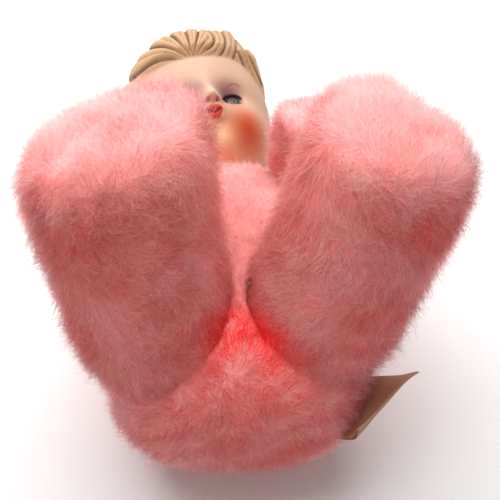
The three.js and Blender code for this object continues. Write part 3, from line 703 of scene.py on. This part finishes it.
def stubAxes(splay, lean, turn):
    # side, front and length of a limb, as its solid is placed
    along = unit(np.array([math.tan(math.radians(splay)), math.tan(math.radians(lean)), 1.0]))
    front = unit(np.array([0.0, 1.0, 0.0]) - along * along[1])
    side = np.cross(front, along)
    c, s = math.cos(math.radians(-turn)), math.sin(math.radians(-turn))
    return side * c + front * s, front * c - side * s, along


legLook = {"length": 119, "down": 0.5, "inner": 0, "paintedShadeAndTone": (0.22, 0.27)}
armLook = {"length": 60, "down": -0.6, "inner": 1.1, "paintedShadeAndTone": (0.14, 0.1), "toe": 0}
limbPlan = {
    "left_leg": {**legLook, "root": (48, -8, 105), "axes": stubAxes(20, 20, 12), "toe": 0.1},
    "right_leg": {**legLook, "root": (-48, -8, 105), "axes": stubAxes(-9.5, 20, 30), "toe": 0.15},
    "left_arm": {**armLook, "root": (56.5, 101, 88), "axes": stubAxes(1, 9, 0)},
    "right_arm": {**armLook, "root": (-56.5, 101, 88), "axes": stubAxes(-1, 9, 0)},
}


# stuffed skins: each stuffed form taken in a few millimetres for its pile, then swelled by its filling

limbSkins = {}
for side in ("left", "right"):
    leg = f"{side}_leg"
    limbSkins[leg] = {
        "nodes": [f"{leg}_front_panel", f"{leg}_back_panel", f"{side}_sole", f"{leg}_stuffing"],
        "takeIn": 2.5, "fill": 0.85, "dome": 4,
    }
for side in ("left", "right"):
    arm = f"{side}_arm"
    limbSkins[arm] = {
        "nodes": [f"{arm}_front_panel", f"{arm}_back_panel", f"{arm}_stuffing"],
        "takeIn": 2, "fill": 0.8, "dome": 0,
    }
torsoSkin = {
    "nodes": ["torso_front_panel", "torso_back_panel", "torso_stuffing"], "takeIn": 2.5, "fill": 0.8,
    "seat": 80, "chest": 126, "halfWidth": 83, "belly": 132, "rest": 0.5, "rows": 70, "columns": 110,
    "limbRoom": 4.5, "headRoom": 5, "headRings": (40, 60), "endPower": 2.4, "sidePower": 2.25,
}
swellPlan = {
    "voxel": 4.5, "pressure": 4, "frames": 20, "most": 3.0, "floorGap": 2.5, "domeReach": 44,
    "takeInExtra": 1.5,
}


def buildBacking():
    # knitted backing cloth under the pile
    material, tree, shader = newMaterial("plushBacking", Specular_IOR_Level=0.1)
    colour = addNode(tree, "ShaderNodeRGB")
    colour.outputs[0].default_value = rgba(tint(250, 170, 168))
    addMottle(tree, shader, colour.outputs[0], 220, 0.4, 0.9, 0.1, 0.4)
    return material


backing = buildBacking()


def loosePiece(mesh):
    piece = bpy.data.objects.new(mesh.name, mesh)
    scene.collection.objects.link(piece)
    return piece


def evaluated(piece):
    # the mesh with its modifiers applied
    depsgraph = bpy.context.evaluated_depsgraph_get()
    mesh = bpy.data.meshes.new_from_object(piece.evaluated_get(depsgraph))
    piece.modifiers.clear()
    return mesh


def remeshed(piece, voxel):
    shaper = piece.modifiers.new("remesh", "REMESH")
    shaper.mode = "VOXEL"
    shaper.voxel_size = voxel
    piece.data = evaluated(piece)


def carved(piece, cutters):
    for cutter in cutters:
        cut = piece.modifiers.new("cut", "BOOLEAN")
        cut.operation = "DIFFERENCE"
        cut.solver = "EXACT"
        cut.object = cutter
    piece.data = evaluated(piece)
    for cutter in cutters:
        bpy.data.objects.remove(cutter)


def relax(points, edges, rounds):
    # each round moves every point half way to the middle of its neighbours
    count = np.zeros(len(points))
    for side in (0, 1):
        np.add.at(count, edges[:, side], 1)
    for _ in range(rounds):
        total = np.zeros_like(points)
        np.add.at(total, edges[:, 0], points[edges[:, 1]])
        np.add.at(total, edges[:, 1], points[edges[:, 0]])
        points = points + 0.5 * (total / np.maximum(count, 1)[:, None] - points)
    return points


def movePoints(mesh, points):
    mesh.vertices.foreach_set("co", points.astype(np.float32).ravel())
    mesh.update()


def swell(piece, plan):
    # cloth under pressure, no point moving further than the limit
    start = pointsOf(piece.data)
    cloth = piece.modifiers.new("swell", "CLOTH")
    cloth.settings.use_pressure = True
    cloth.settings.uniform_pressure_force = plan["pressure"]
    cloth.settings.effector_weights.gravity = 0
    cloth.settings.quality = 4
    cloth.point_cache.frame_start, cloth.point_cache.frame_end = 1, plan["frames"]
    for k in range(1, plan["frames"] + 1):
        scene.frame_set(k)
    depsgraph = bpy.context.evaluated_depsgraph_get()
    moved = pointsOf(piece.evaluated_get(depsgraph).to_mesh())
    piece.modifiers.clear()
    scene.frame_set(1)
    step = np.nan_to_num(moved - start)
    length = np.linalg.norm(step, axis=1, keepdims=True)
    movePoints(piece.data, start + step * np.minimum(1, plan["most"] * mm / np.maximum(length, 1e-9)))


def finishSkin(piece, body, plan, takeIn):
    mesh = piece.data
    mesh.name = piece.name = body + "_skin"
    edges = np.empty(len(mesh.edges) * 2, np.int32)
    mesh.edges.foreach_get("vertices", edges)
    edges = edges.reshape(-1, 2)
    points = relax(pointsOf(mesh), edges, 4)
    points -= normalsOf(points, trianglesOf(mesh)) * takeIn * mm
    movePoints(mesh, relax(points, edges, 3))
    mesh.polygons.foreach_set("use_smooth", np.ones(len(mesh.polygons), bool))
    swell(piece, swellPlan)
    points = pointsOf(piece.data)
    points[:, 2] = np.maximum(points[:, 2], swellPlan["floorGap"] * mm)
    movePoints(piece.data, points)
    piece.data.materials.clear()
    piece.data.materials.append(backing)
    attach(piece, body)
    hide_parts(*plan["nodes"])
    return piece


def domed(points, normals, limb, rise):
    # a stuffed end bulges in its middle
    along = limb["axes"][2]
    local = points / mm - np.array(limb["root"])
    reach = np.linalg.norm(local - (local @ along)[:, None] * along, axis=1)
    bulge = np.clip(1 - (reach / swellPlan["domeReach"]) ** 2, 0, 1)
    lift = rise * bulge * smoothStep(normals @ along, 0.3, 0.8)
    return points + along * lift[:, None] * mm


def addLimbSkin(body, plan):
    shape = bmesh.new()
    for node in plan["nodes"]:
        shape.from_mesh(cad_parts[node].data)
    mesh = bpy.data.meshes.new(body)
    shape.to_mesh(mesh)
    shape.free()
    piece = loosePiece(mesh)
    remeshed(piece, swellPlan["voxel"] * mm)
    points = pointsOf(piece.data)
    normals = normalsOf(points, trianglesOf(piece.data))
    movePoints(piece.data, domed(points, normals, limbPlan[body], plan["dome"]))
    return finishSkin(piece, body, plan, plan["takeIn"] + swellPlan["takeInExtra"])


def eggFullness(share):
    skew = math.log(0.5) / math.log(torsoSkin["seat"] / (torsoSkin["seat"] + torsoSkin["chest"]))
    power = torsoSkin["endPower"]
    return (1 - np.abs(2 * np.clip(share, 0, 1) ** skew - 1) ** power) ** (1 / power)


def torsoEgg(plan):
    takeIn = plan["takeIn"] + swellPlan["takeInExtra"]
    rows, columns = plan["rows"], plan["columns"]
    share = (1 - np.cos(np.pi * (np.arange(rows) + 1) / (rows + 1))) / 2
    y = -plan["seat"] + takeIn + share * (plan["seat"] + plan["chest"] - 2 * takeIn)
    angle = 2 * np.pi * np.arange(columns) / columns
    power = 2 / plan["sidePower"]
    wide = np.sign(np.cos(angle)) * np.abs(np.cos(angle)) ** power
    high = np.sign(np.sin(angle)) * np.abs(np.sin(angle)) ** power
    full = eggFullness(share)[:, None]
    middle = (plan["belly"] - plan["rest"]) / 2
    x = full * (plan["halfWidth"] - takeIn) * wide
    z = middle + full * ((plan["belly"] + plan["rest"]) / 2 - takeIn) * high
    points = np.stack([x, np.repeat(y[:, None], columns, 1), z], 2).reshape(-1, 3)
    tips = [[0, -plan["seat"] + takeIn, middle], [0, plan["chest"] - takeIn, middle]]
    return outward("torso", np.concatenate([points, tips]) * mm, ringFaces(rows, columns))


def outward(name, points, faces):
    # a closed mesh whose faces look out
    a, b, c = (points[faces[:, k]] for k in range(3))
    if (a * np.cross(b, c)).sum() < 0:
        faces = faces[:, ::-1]
    return meshFrom(name, points, faces)


def addTorsoSkin(plan, limbs):
    cutters = []
    for limb in limbs:
        points, triangles = pointsOf(limb.data), trianglesOf(limb.data)
        points += normalsOf(points, triangles) * plan["limbRoom"] * mm
        cutters.append(loosePiece(meshFrom("limbRoom", points, triangles)))
    skull = skullPoints(headRings(*plan["headRings"])) * (1 + plan["headRoom"] / headPlan["halfDepth"])
    cutters.append(loosePiece(outward("headRoom", toRow(skull), ringFaces(*plan["headRings"]))))
    piece = loosePiece(torsoEgg(plan))
    carved(piece, cutters)
    remeshed(piece, swellPlan["voxel"] * mm)
    return finishSkin(piece, "torso", plan, 0)


skins = {body: addLimbSkin(body, plan) for body, plan in limbSkins.items()}
skins["torso"] = addTorsoSkin(torsoSkin, list(skins.values()))
addNeckStub(neckPlan)
addCollar(collarPlan)
addTie(tiePlan)
print("skins swelled:", {body: len(skin.data.vertices) for body, skin in skins.items()})


# pile: tapered ribbons rooted in the skins, drawn together into wisps

def buildPile():
    material, tree, shader = newMaterial("plushPile", Roughness=0.9, Specular_IOR_Level=0.1)
    fibre = addNode(tree, "ShaderNodeAttribute", attribute_name="fibre")
    parts = addNode(tree, "ShaderNodeSeparateColor")
    join(tree, fibre.outputs["Color"], parts.inputs[0])
    along = addNode(tree, "ShaderNodeValToRGB", "root to tip")
    stops = along.color_ramp.elements
    stops[0].position, stops[0].color = 0.0, rgba(tint(250, 184, 182))
    stops[1].position, stops[1].color = 1.0, rgba(tint(254, 220, 217))
    middle = stops.new(0.5)
    middle.color = rgba(tint(252, 200, 197))
    join(tree, parts.outputs[0], along.inputs[0])
    # painted shade and tone: white where the pile is lit, deeper and redder pink where it faces away from the
    # light, a painted red glow in the crotch crease
    paintedShadeAndTone = addNode(tree, "ShaderNodeValToRGB", "pale to deep dye")
    stops = paintedShadeAndTone.color_ramp.elements
    stops[0].position, stops[0].color = 0.0, (1, 1, 1, 1)
    stops[1].position, stops[1].color = 1.0, rgba(tint(255, 66, 74))
    for place, colour in ((0.5, (226, 160, 156)), (0.75, (250, 122, 122))):
        middle = stops.new(place)
        middle.color = rgba(tint(*colour))
    join(tree, parts.outputs[2], paintedShadeAndTone.inputs[0])
    deep = addNode(tree, "ShaderNodeMix", "paintedShadeMix", data_type="RGBA", blend_type="MULTIPLY")
    deep.inputs[0].default_value = 1
    join(tree, along.outputs[0], deep.inputs[6])
    join(tree, paintedShadeAndTone.outputs[0], deep.inputs[7])
    each = addNode(tree, "ShaderNodeHueSaturation", "each fibre")
    lift = addNode(tree, "ShaderNodeMath", operation="MULTIPLY_ADD")
    lift.inputs[1].default_value, lift.inputs[2].default_value = 0.16, 0.92
    join(tree, parts.outputs[1], lift.inputs[0])
    join(tree, lift.outputs[0], each.inputs["Value"])
    join(tree, deep.outputs[2], each.inputs["Color"])
    join(tree, each.outputs[0], shader.inputs["Base Color"])
    # light falls on the fibres as it does on the cloth they grow from
    lay = addNode(tree, "ShaderNodeAttribute", attribute_name="lay")
    turned = addNode(
        tree, "ShaderNodeVectorTransform", vector_type="NORMAL", convert_from="OBJECT", convert_to="WORLD")
    join(tree, lay.outputs["Vector"], turned.inputs[0])
    join(tree, turned.outputs[0], shader.inputs["Normal"])
    # a fibre seen from behind lets the light through
    through = addNode(tree, "ShaderNodeBsdfTranslucent")
    join(tree, each.outputs[0], through.inputs["Color"])
    seen = addNode(tree, "ShaderNodeNewGeometry")
    both = addNode(tree, "ShaderNodeMixShader")
    join(tree, seen.outputs["Backfacing"], both.inputs[0])
    join(tree, shader.outputs[0], both.inputs[1])
    join(tree, through.outputs[0], both.inputs[2])
    surface = next(node for node in tree.nodes if node.type == "OUTPUT_MATERIAL")
    join(tree, both.outputs[0], surface.inputs["Surface"])
    return material


pileMaterial = buildPile()


def combLimb(plan, points, normals):
    # fibres lie down the limb, drifting round it one way and the other; on the end they lie towards the head
    side, front, along = plan["axes"]
    height = (points / mm - np.array(plan["root"])) @ along
    onEnd = smoothStep(normals @ along, 0.45, 0.8)
    flow = unit(np.cross(along, normals)) * (0.35 + 1.2 * drift(points, 0.09, 95))[:, None]
    toe = smoothStep(normals @ front, 0.1, 0.6) * smoothStep(height, plan["length"] - 55, plan["length"] - 20)
    flow -= along * (plan["down"] + 0.5 * smoothStep(-height, -45, -10) - 1.5 * toe)[:, None]
    lie = np.array([-0.5, 0.8, 0.3]) + 0.8 * np.stack([drift(points, 0.05, 90 + k) for k in range(3)], 1)
    return flow * (1 - onEnd)[:, None] + lie * onEnd[:, None], onEnd, toe


def combTorso(points, normals):
    # outwards from the middle of the seat, towards the head on the belly
    local = points / mm
    seat = smoothStep(-normals[:, 1], 0.1, 0.7)
    sign = np.tanh((local[:, 0] + 8) / 40)
    outwards = np.stack([sign, 0 * sign, -0.6 + 0 * sign], 1)
    front = np.stack([0.25 * sign, 0.9 + 0 * sign, 0 * sign], 1)
    back = np.stack([0.3 * sign, -0.9 + 0 * sign, 0 * sign], 1)
    belly = smoothStep(normals[:, 2], -0.2, 0.4)[:, None]
    flow = (front * belly + back * (1 - belly)) * (1 - seat)[:, None] + outwards * seat[:, None]
    return flow, belly[:, 0] * (1 - seat)


legPile = {"fibres": 39000, "layers": 2, "length": 12.8, "width": 0.16, "clumps": 6000, "rise": 0.7}
armPile = {"fibres": 30000, "layers": 1, "length": 6, "width": 0.17, "clumps": 3000, "rise": 0.9}
pilePlan = {
    "torso": {**legPile, "length": 11, "clumps": 7000, "seed": 11},
    "left_leg": {**legPile, "seed": 31},
    "right_leg": {**legPile, "seed": 51},
    "left_arm": {**armPile, "seed": 71},
    "right_arm": {**armPile, "seed": 81},
}
pileLook = {
    "stray": 0.65, "uneven": 0.25, "wispShare": 0.06, "wispLonger": 1.5, "wispLift": 0.2, "roomShare": 0.9,
    "shortest": 4.5, "curl": 0.22, "wave": 0.28, "drawn": 0.75, "paleShare": 0.22, "paleDye": 0.35,
    "crotchGlow": 1.3, "crotchSpot": (3, -34), "crotchSize": (21, 22), "crotchRise": (80, 105), "facing": 0.3,
}
torsoLook = {
    "shoulderSpot": (50, 100), "shoulderSize": (14, 18), "shoulderLonger": 2, "bellyShorter": 0.15,
    "bellyLift": 0.1, "paintedShadeAndTone": 0.54, "bellyPaler": 0.28,
}
groundPlan = {
    "roomReach": 30, "nearReach": 35, "tight": 6, "clear": 20, "leastShare": 0.06,
    "underHeight": 12, "underShare": 0.25,
}
pileSteps = 3
pileLevels = np.linspace(0, 1, pileSteps + 1)
pileShare = np.concatenate([np.repeat(pileLevels[:-1], 2), [1.0]])


def neighbourTree(body):
    # every other skin and the head's solid, to keep the pile short where pieces press together
    verts, faces = [], []
    others = [skin.data for name, skin in skins.items() if name != body]
    others.append(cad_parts["head_shell"].data)
    for mesh in others:
        start = sum(len(v) for v in verts)
        verts.append(pointsOf(mesh))
        faces.append(trianglesOf(mesh) + start)
    return BVHTree.FromPolygons(np.concatenate(verts).tolist(), np.concatenate(faces).tolist())


def roomAbove(tree, points, normals, most):
    room = np.full(len(points), most)
    for k in range(len(points)):
        hit = tree.ray_cast(Vector(points[k]), Vector(normals[k]), most)
        if hit[3] is not None:
            room[k] = hit[3]
    return room


def nearness(tree, points, most):
    # 1 where a neighbour touches, 0 where none lies within reach
    return np.array([1 - (tree.find_nearest(Vector(p), most)[3] or most) / most for p in points])


def pileGround(body):
    # the skin's triangles with their normals, room, nearness to other pieces and share of the fibres
    mesh = skins[body].data
    verts, triangles = pointsOf(mesh), trianglesOf(mesh)
    a, b, c = (verts[triangles[:, k]] for k in range(3))
    flat = np.cross(b - a, c - a)
    tree, middle = neighbourTree(body), (a + b + c) / 3
    room = roomAbove(tree, middle, unit(flat), groundPlan["roomReach"] * mm)
    near = nearness(tree, middle, groundPlan["nearReach"] * mm)
    least = groundPlan["leastShare"]
    share = least + (1 - least) * smoothStep(room / mm, groundPlan["tight"], groundPlan["clear"])
    under = middle[:, 2] < groundPlan["underHeight"] * mm
    weight = np.linalg.norm(flat, axis=1) * share * np.where(under, groundPlan["underShare"], 1)
    return verts, triangles, normalsOf(verts, triangles), room, near, weight / weight.sum()


def torsoStyle(roots, normals):
    # comb, share of the length, lift and painted shade: painted paler where the belly faces the light, and
    # shorter there; longer at the shoulders
    comb, belly = combTorso(roots, normals)
    (across, up), (wide, tall) = torsoLook["shoulderSpot"], torsoLook["shoulderSize"]
    shoulder = mound(np.abs(roots[:, 0]) / mm - across, wide) * mound(roots[:, 1] / mm - up, tall)
    share = 1 - torsoLook["bellyShorter"] * belly + torsoLook["shoulderLonger"] * shoulder
    return comb, share, torsoLook["bellyLift"] * belly, torsoLook["paintedShadeAndTone"] - torsoLook["bellyPaler"] * belly


def limbStyle(plan, roots, normals):
    # the same for a limb: painted shade palest where it faces up to the light, deepest where it faces down
    # and back on the side of the seat; longer at the toes or beside the head
    comb, onEnd, toe = combLimb(plan, roots, normals)
    root = plan["root"][0]
    inner = smoothStep(-math.copysign(1, root) * (roots[:, 0] / mm - root), 6, 20)
    back = smoothStep(-normals[:, 1], 0.2, 0.8)
    turned = smoothStep(-normals[:, 2], -0.85, -0.25) * (0.6 + 0.4 * back)
    pale, deeper = plan["paintedShadeAndTone"]
    return comb, 1 + plan["toe"] * toe + plan["inner"] * inner, 0.12 * onEnd, pale + deeper * turned


def pileStyle(body, roots, normals, near, rng):
    if body == "torso":
        comb, share, stand, paintedShadeAndTone = torsoStyle(roots, normals)
    else:
        comb, share, stand, paintedShadeAndTone = limbStyle(limbPlan[body], roots, normals)
    paintedShadeAndTone = paintedShadeAndTone * np.where(rng.random(len(roots)) < pileLook["paleShare"], pileLook["paleDye"], 1)
    x, y, z = roots.T / mm
    # painted red glow of light bounced between the legs, in the crotch crease
    (across, up), (wide, tall) = pileLook["crotchSpot"], pileLook["crotchSize"]
    crotch = mound(x - across, wide) * mound(y - up, tall) * smoothStep(z, *pileLook["crotchRise"])
    paintedShadeAndTone = paintedShadeAndTone + pileLook["crotchGlow"] * crotch * smoothStep(near, 0.2, 0.7)
    paintedShadeAndTone = paintedShadeAndTone + 0.14 * drift(roots, 0.06, 70 + len(body)) + 0.06 * rng.normal(size=len(roots))
    return comb, share, stand, paintedShadeAndTone


def scatterRoots(ground, count, rng):
    verts, triangles, vertNormals, room, near, weight = ground
    chosen = rng.choice(len(triangles), count, p=weight)
    mix = rng.dirichlet((1, 1, 1), count)

    def mixed(values):
        return sum(values[triangles[chosen, k]] * mix[:, k : k + 1] for k in range(3))

    return mixed(verts), unit(mixed(vertNormals)), room[chosen], near[chosen]


def layComb(plan, roots, normals, comb, rng):
    # the way that each fibre lies along the skin: combed, swirled and strayed
    swirl = np.stack([drift(roots, 0.022, plan["seed"] + 20 + k) for k in range(3)], 1)
    comb = unit(unit(comb) + swirl + pileLook["stray"] * rng.normal(size=roots.shape))
    return unit(comb - normals * dot(comb, normals))


def fibreLengths(plan, roots, normals, room, share, rng):
    # uneven, with a few long wisps, and short where another piece or the floor is close
    patchy = 0.22 * drift(roots, 0.05, plan["seed"] + 40)
    longer = 1 + patchy + pileLook["uneven"] * rng.normal(size=len(roots))
    wisp = rng.random(len(roots)) < pileLook["wispShare"]
    longer = np.where(wisp, longer * pileLook["wispLonger"], longer)
    length = plan["length"] * mm * share * np.clip(longer, 0.35, 2.1)
    length = np.minimum(length, np.maximum(room * pileLook["roomShare"], pileLook["shortest"] * mm))
    return np.minimum(length, np.maximum(roots[:, 2], 0.002) + np.maximum(normals[:, 2], 0)), wisp


def wispLeaders(roots, most, rng):
    # the nearest leading fibre of each fibre
    leaders = rng.choice(len(roots), min(most, len(roots) // 3), replace=False)
    finder = KDTree(len(leaders))
    for k, leader in enumerate(leaders):
        finder.insert(Vector(roots[leader]), k)
    finder.balance()
    return leaders[np.array([finder.find(Vector(p))[1] for p in roots])]


def fibrePaths(plan, roots, normals, comb, length, upright, rng):
    # stands up first, then lies over along the comb, waving from side to side, drawn to a leading fibre
    count = len(roots)
    sideways = np.cross(normals, comb)
    curl = rng.normal(size=count) * pileLook["curl"]
    phase = rng.uniform(0, 2 * np.pi, count)
    leader = wispLeaders(roots, plan["clumps"], rng)
    drawn = rng.uniform(0, pileLook["drawn"], count)
    rows = []
    for s in pileLevels:
        lie = 0.3 * s + math.sin(s * 1.35) * (1.25 - upright)
        lifted = upright * (s - 0.42 * s * s)
        wave = pileLook["wave"] * s * np.sin(5.2 * s + phase) + curl * s * s
        way = normals * lifted[:, None] + comb * lie[:, None] + sideways * wave[:, None]
        free = roots + length[:, None] * way
        rows.append(free + (free[leader] - free) * (drawn * s**1.4)[:, None])
    return np.stack(rows, 1)


def ribbonPoints(plan, rows, normals, rng):
    # two edges that taper to a tip, kept off the floor
    tangent = unit(np.gradient(rows, axis=1))
    facing = unit(normals + pileLook["facing"] * rng.normal(size=normals.shape))
    across = unit(np.cross(tangent, facing[:, None, :]))
    width = plan["width"] * mm * rng.uniform(0.7, 1.25, len(rows)) * 1
    half = width[:, None] * (1 - 0.8 * pileLevels**1.3)[None, :] / 2
    points = np.empty((len(rows), len(pileShare), 3))
    points[:, 0:-1:2] = (rows - across * half[:, :, None])[:, :-1]
    points[:, 1:-1:2] = (rows + across * half[:, :, None])[:, :-1]
    points[:, -1] = rows[:, -1]
    return np.maximum(points.reshape(-1, 3), [-9, -9, 0.0004])


def ribbonFaces(count):
    pattern = []
    for k in range(pileSteps - 1):
        pattern += [(2 * k, 2 * k + 1, 2 * k + 3), (2 * k, 2 * k + 3, 2 * k + 2)]
    pattern.append((2 * pileSteps - 2, 2 * pileSteps - 1, 2 * pileSteps))
    starts = np.arange(count) * len(pileShare)
    return (starts[:, None, None] + np.array(pattern)[None]).reshape(-1, 3)


def layNormals(pile, normals, rng):
    # each fibre takes its light from the cloth's own slope, a little strayed
    soft = unit(normals + pileLook["facing"] * rng.normal(size=normals.shape))
    soft = np.repeat(soft, len(pileShare), 0)
    pile.normals_split_custom_set_from_vertices(soft)
    lay = pile.attributes.new("lay", "FLOAT_VECTOR", "POINT")
    lay.data.foreach_set("vector", soft.astype(np.float32).ravel())


def paintPileShade(pile, plan, roots, paintedShadeAndTone, rng):
    # root to tip, each fibre's own tone at random, and the painted shade with its uneven tone, paler towards
    # the tip
    count = len(roots)
    shade = 0.5 + 0.25 * rng.normal(size=count) + 0.15 * drift(roots, 0.012, plan["seed"] + 60)
    colours = np.empty((count, len(pileShare), 3))
    colours[:, :, 0] = pileShare[None, :]
    colours[:, :, 1] = np.clip(shade, 0, 1)[:, None]
    colours[:, :, 2] = np.clip(paintedShadeAndTone[:, None] * (1 - 0.5 * pileShare**2)[None, :], 0, 1)
    paintPoints(pile, "fibre", colours.reshape(-1, 3))


def mapPile(pile, faces, count):
    # one narrow column of the map for each fibre, root at the bottom
    spread = np.empty((count, len(pileShare), 2))
    spread[:, :, 0] = ((np.arange(count) + 0.5) / count)[:, None]
    spread[:, :, 1] = pileShare[None, :]
    spread[:, 0:-1:2, 0] -= 0.4 / count
    spread[:, 1:-1:2, 0] += 0.4 / count
    uv = pile.uv_layers.new(name="OFBake")
    uv.data.foreach_set("uv", spread.reshape(-1, 2)[faces.ravel()].astype(np.float32).ravel())


def growPile(body, plan, ground, layerNumber):
    rng = np.random.default_rng(plan["seed"] + layerNumber)
    count = plan["fibres"] // 1
    roots, normals, room, near = scatterRoots(ground, count, rng)
    comb, share, stand, paintedShadeAndTone = pileStyle(body, roots, normals, near, rng)
    comb = layComb(plan, roots, normals, comb, rng)
    length, wisp = fibreLengths(plan, roots, normals, room, share, rng)
    lift = plan["rise"] + stand + pileLook["wispLift"] * wisp
    upright = np.clip(lift + 0.18 * rng.normal(size=count), 0.3, 1.2)
    rows = fibrePaths(plan, roots, normals, comb, length, upright, rng)
    faces = ribbonFaces(count)
    pile = meshFrom(f"{body}_pile_{layerNumber + 1}", ribbonPoints(plan, rows, normals, rng), faces)
    layNormals(pile, normals, rng)
    paintPileShade(pile, plan, roots, paintedShadeAndTone, rng)
    mapPile(pile, faces, count)
    addPiece(pile, pileMaterial, body)
    print(pile.name, count, "fibres,", len(faces), "faces")


for body, plan in pilePlan.items():
    ground = pileGround(body)
    for layerNumber in range(plan["layers"]):
        growPile(body, plan, ground, layerNumber)


# tag: a folded tape sewn into the side seam, left blank

tagPlan = {
    "fromSeat": 28, "width": 38, "length": 28, "nearLift": 62, "farLift": 12, "bend": 3, "seam": 62,
    "inside": 8, "layerGap": 0.5, "thick": 0.3, "lip": 3.5, "wave": 0.7, "wideSteps": 44, "longSteps": 26,
}


def seamPoint(y):
    share = (y + torsoSkin["seat"]) / (torsoSkin["seat"] + torsoSkin["chest"])
    return np.stack([torsoSkin["halfWidth"] * eggFullness(share), y, np.full_like(y, tagPlan["seam"])], -1)


def tagPoints(plan, wide, long, rise):
    # a point at a share of the width and of the length, raised off the middle of the tape
    low = plan["fromSeat"] - torsoSkin["seat"] - plan["width"] / 2
    ends = seamPoint(np.array([low, low + plan["width"]]))
    root = ends[0] + wide[:, None] * (ends[1] - ends[0])
    y = root[:, 1]
    run = unit(seamPoint(y + 1) - seamPoint(y - 1))
    lift = np.radians(plan["nearLift"] + (plan["farLift"] - plan["nearLift"]) * wide**3)[:, None]
    up = np.array([0, 0, 1.0])
    out = np.cross(run, up) * np.cos(lift) + up * np.sin(lift)
    free = seamPoint(y) + out * plan["length"]
    face = np.cross(out, run)
    curl = plan["bend"] * np.maximum(long, 0) ** 2 + plan["lip"] * smoothStep(long, 0.45, 1.0) ** 2
    wave = plan["wave"] * np.maximum(long, 0) * np.sin(7 * wide + 1)
    return root + (free - root) * long[:, None] + face * (rise + curl + wave)[:, None]


def buildTape():
    # woven cotton tape, a beige painted darker brown as painted shade, unevenly mottled
    material, tree, shader = newMaterial("tagTape", Specular_IOR_Level=0.2)
    colour = addNode(tree, "ShaderNodeRGB")
    colour.outputs[0].default_value = rgba(tint(176, 140, 108))
    addMottle(tree, shader, colour.outputs[0], 160, 0.35, 0.85, 0.1, 0.5)
    return material


def addTag(plan):
    wideSteps, longSteps = plan["wideSteps"], plan["longSteps"]
    start = -plan["inside"] / plan["length"]
    leg = np.linspace(start, 1, longSteps)
    turn = np.linspace(-np.pi / 2, np.pi / 2, 7)[1:-1]
    long = np.concatenate([leg, 1 + plan["layerGap"] / plan["length"] * np.cos(turn), leg[::-1]])
    rise = plan["layerGap"] * np.concatenate([-np.ones(longSteps), np.sin(turn), np.ones(longSteps)])
    wide = np.linspace(0, 1, wideSteps)
    w, k = np.meshgrid(wide, np.arange(len(long)), indexing="ij")
    points = tagPoints(plan, w.ravel(), long[k.ravel()], rise[k.ravel()])
    row, column = np.meshgrid(np.arange(wideSteps - 1), np.arange(len(long) - 1), indexing="ij")
    a = (row * len(long) + column).ravel()
    faces = np.stack([a, a + 1, a + 1 + len(long), a + len(long)], 1)
    shape = bmesh.new()
    shape.from_mesh(meshFrom("tag", points * mm, faces))
    bmesh.ops.solidify(shape, geom=shape.faces[:], thickness=plan["thick"] * mm)
    mesh = bpy.data.meshes.new("tag_tape")
    shape.to_mesh(mesh)
    shape.free()
    mesh.polygons.foreach_set("use_smooth", np.ones(len(mesh.polygons), bool))
    piece = addPiece(mesh, buildTape(), "tag")
    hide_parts("law_tag")


addTag(tagPlan)
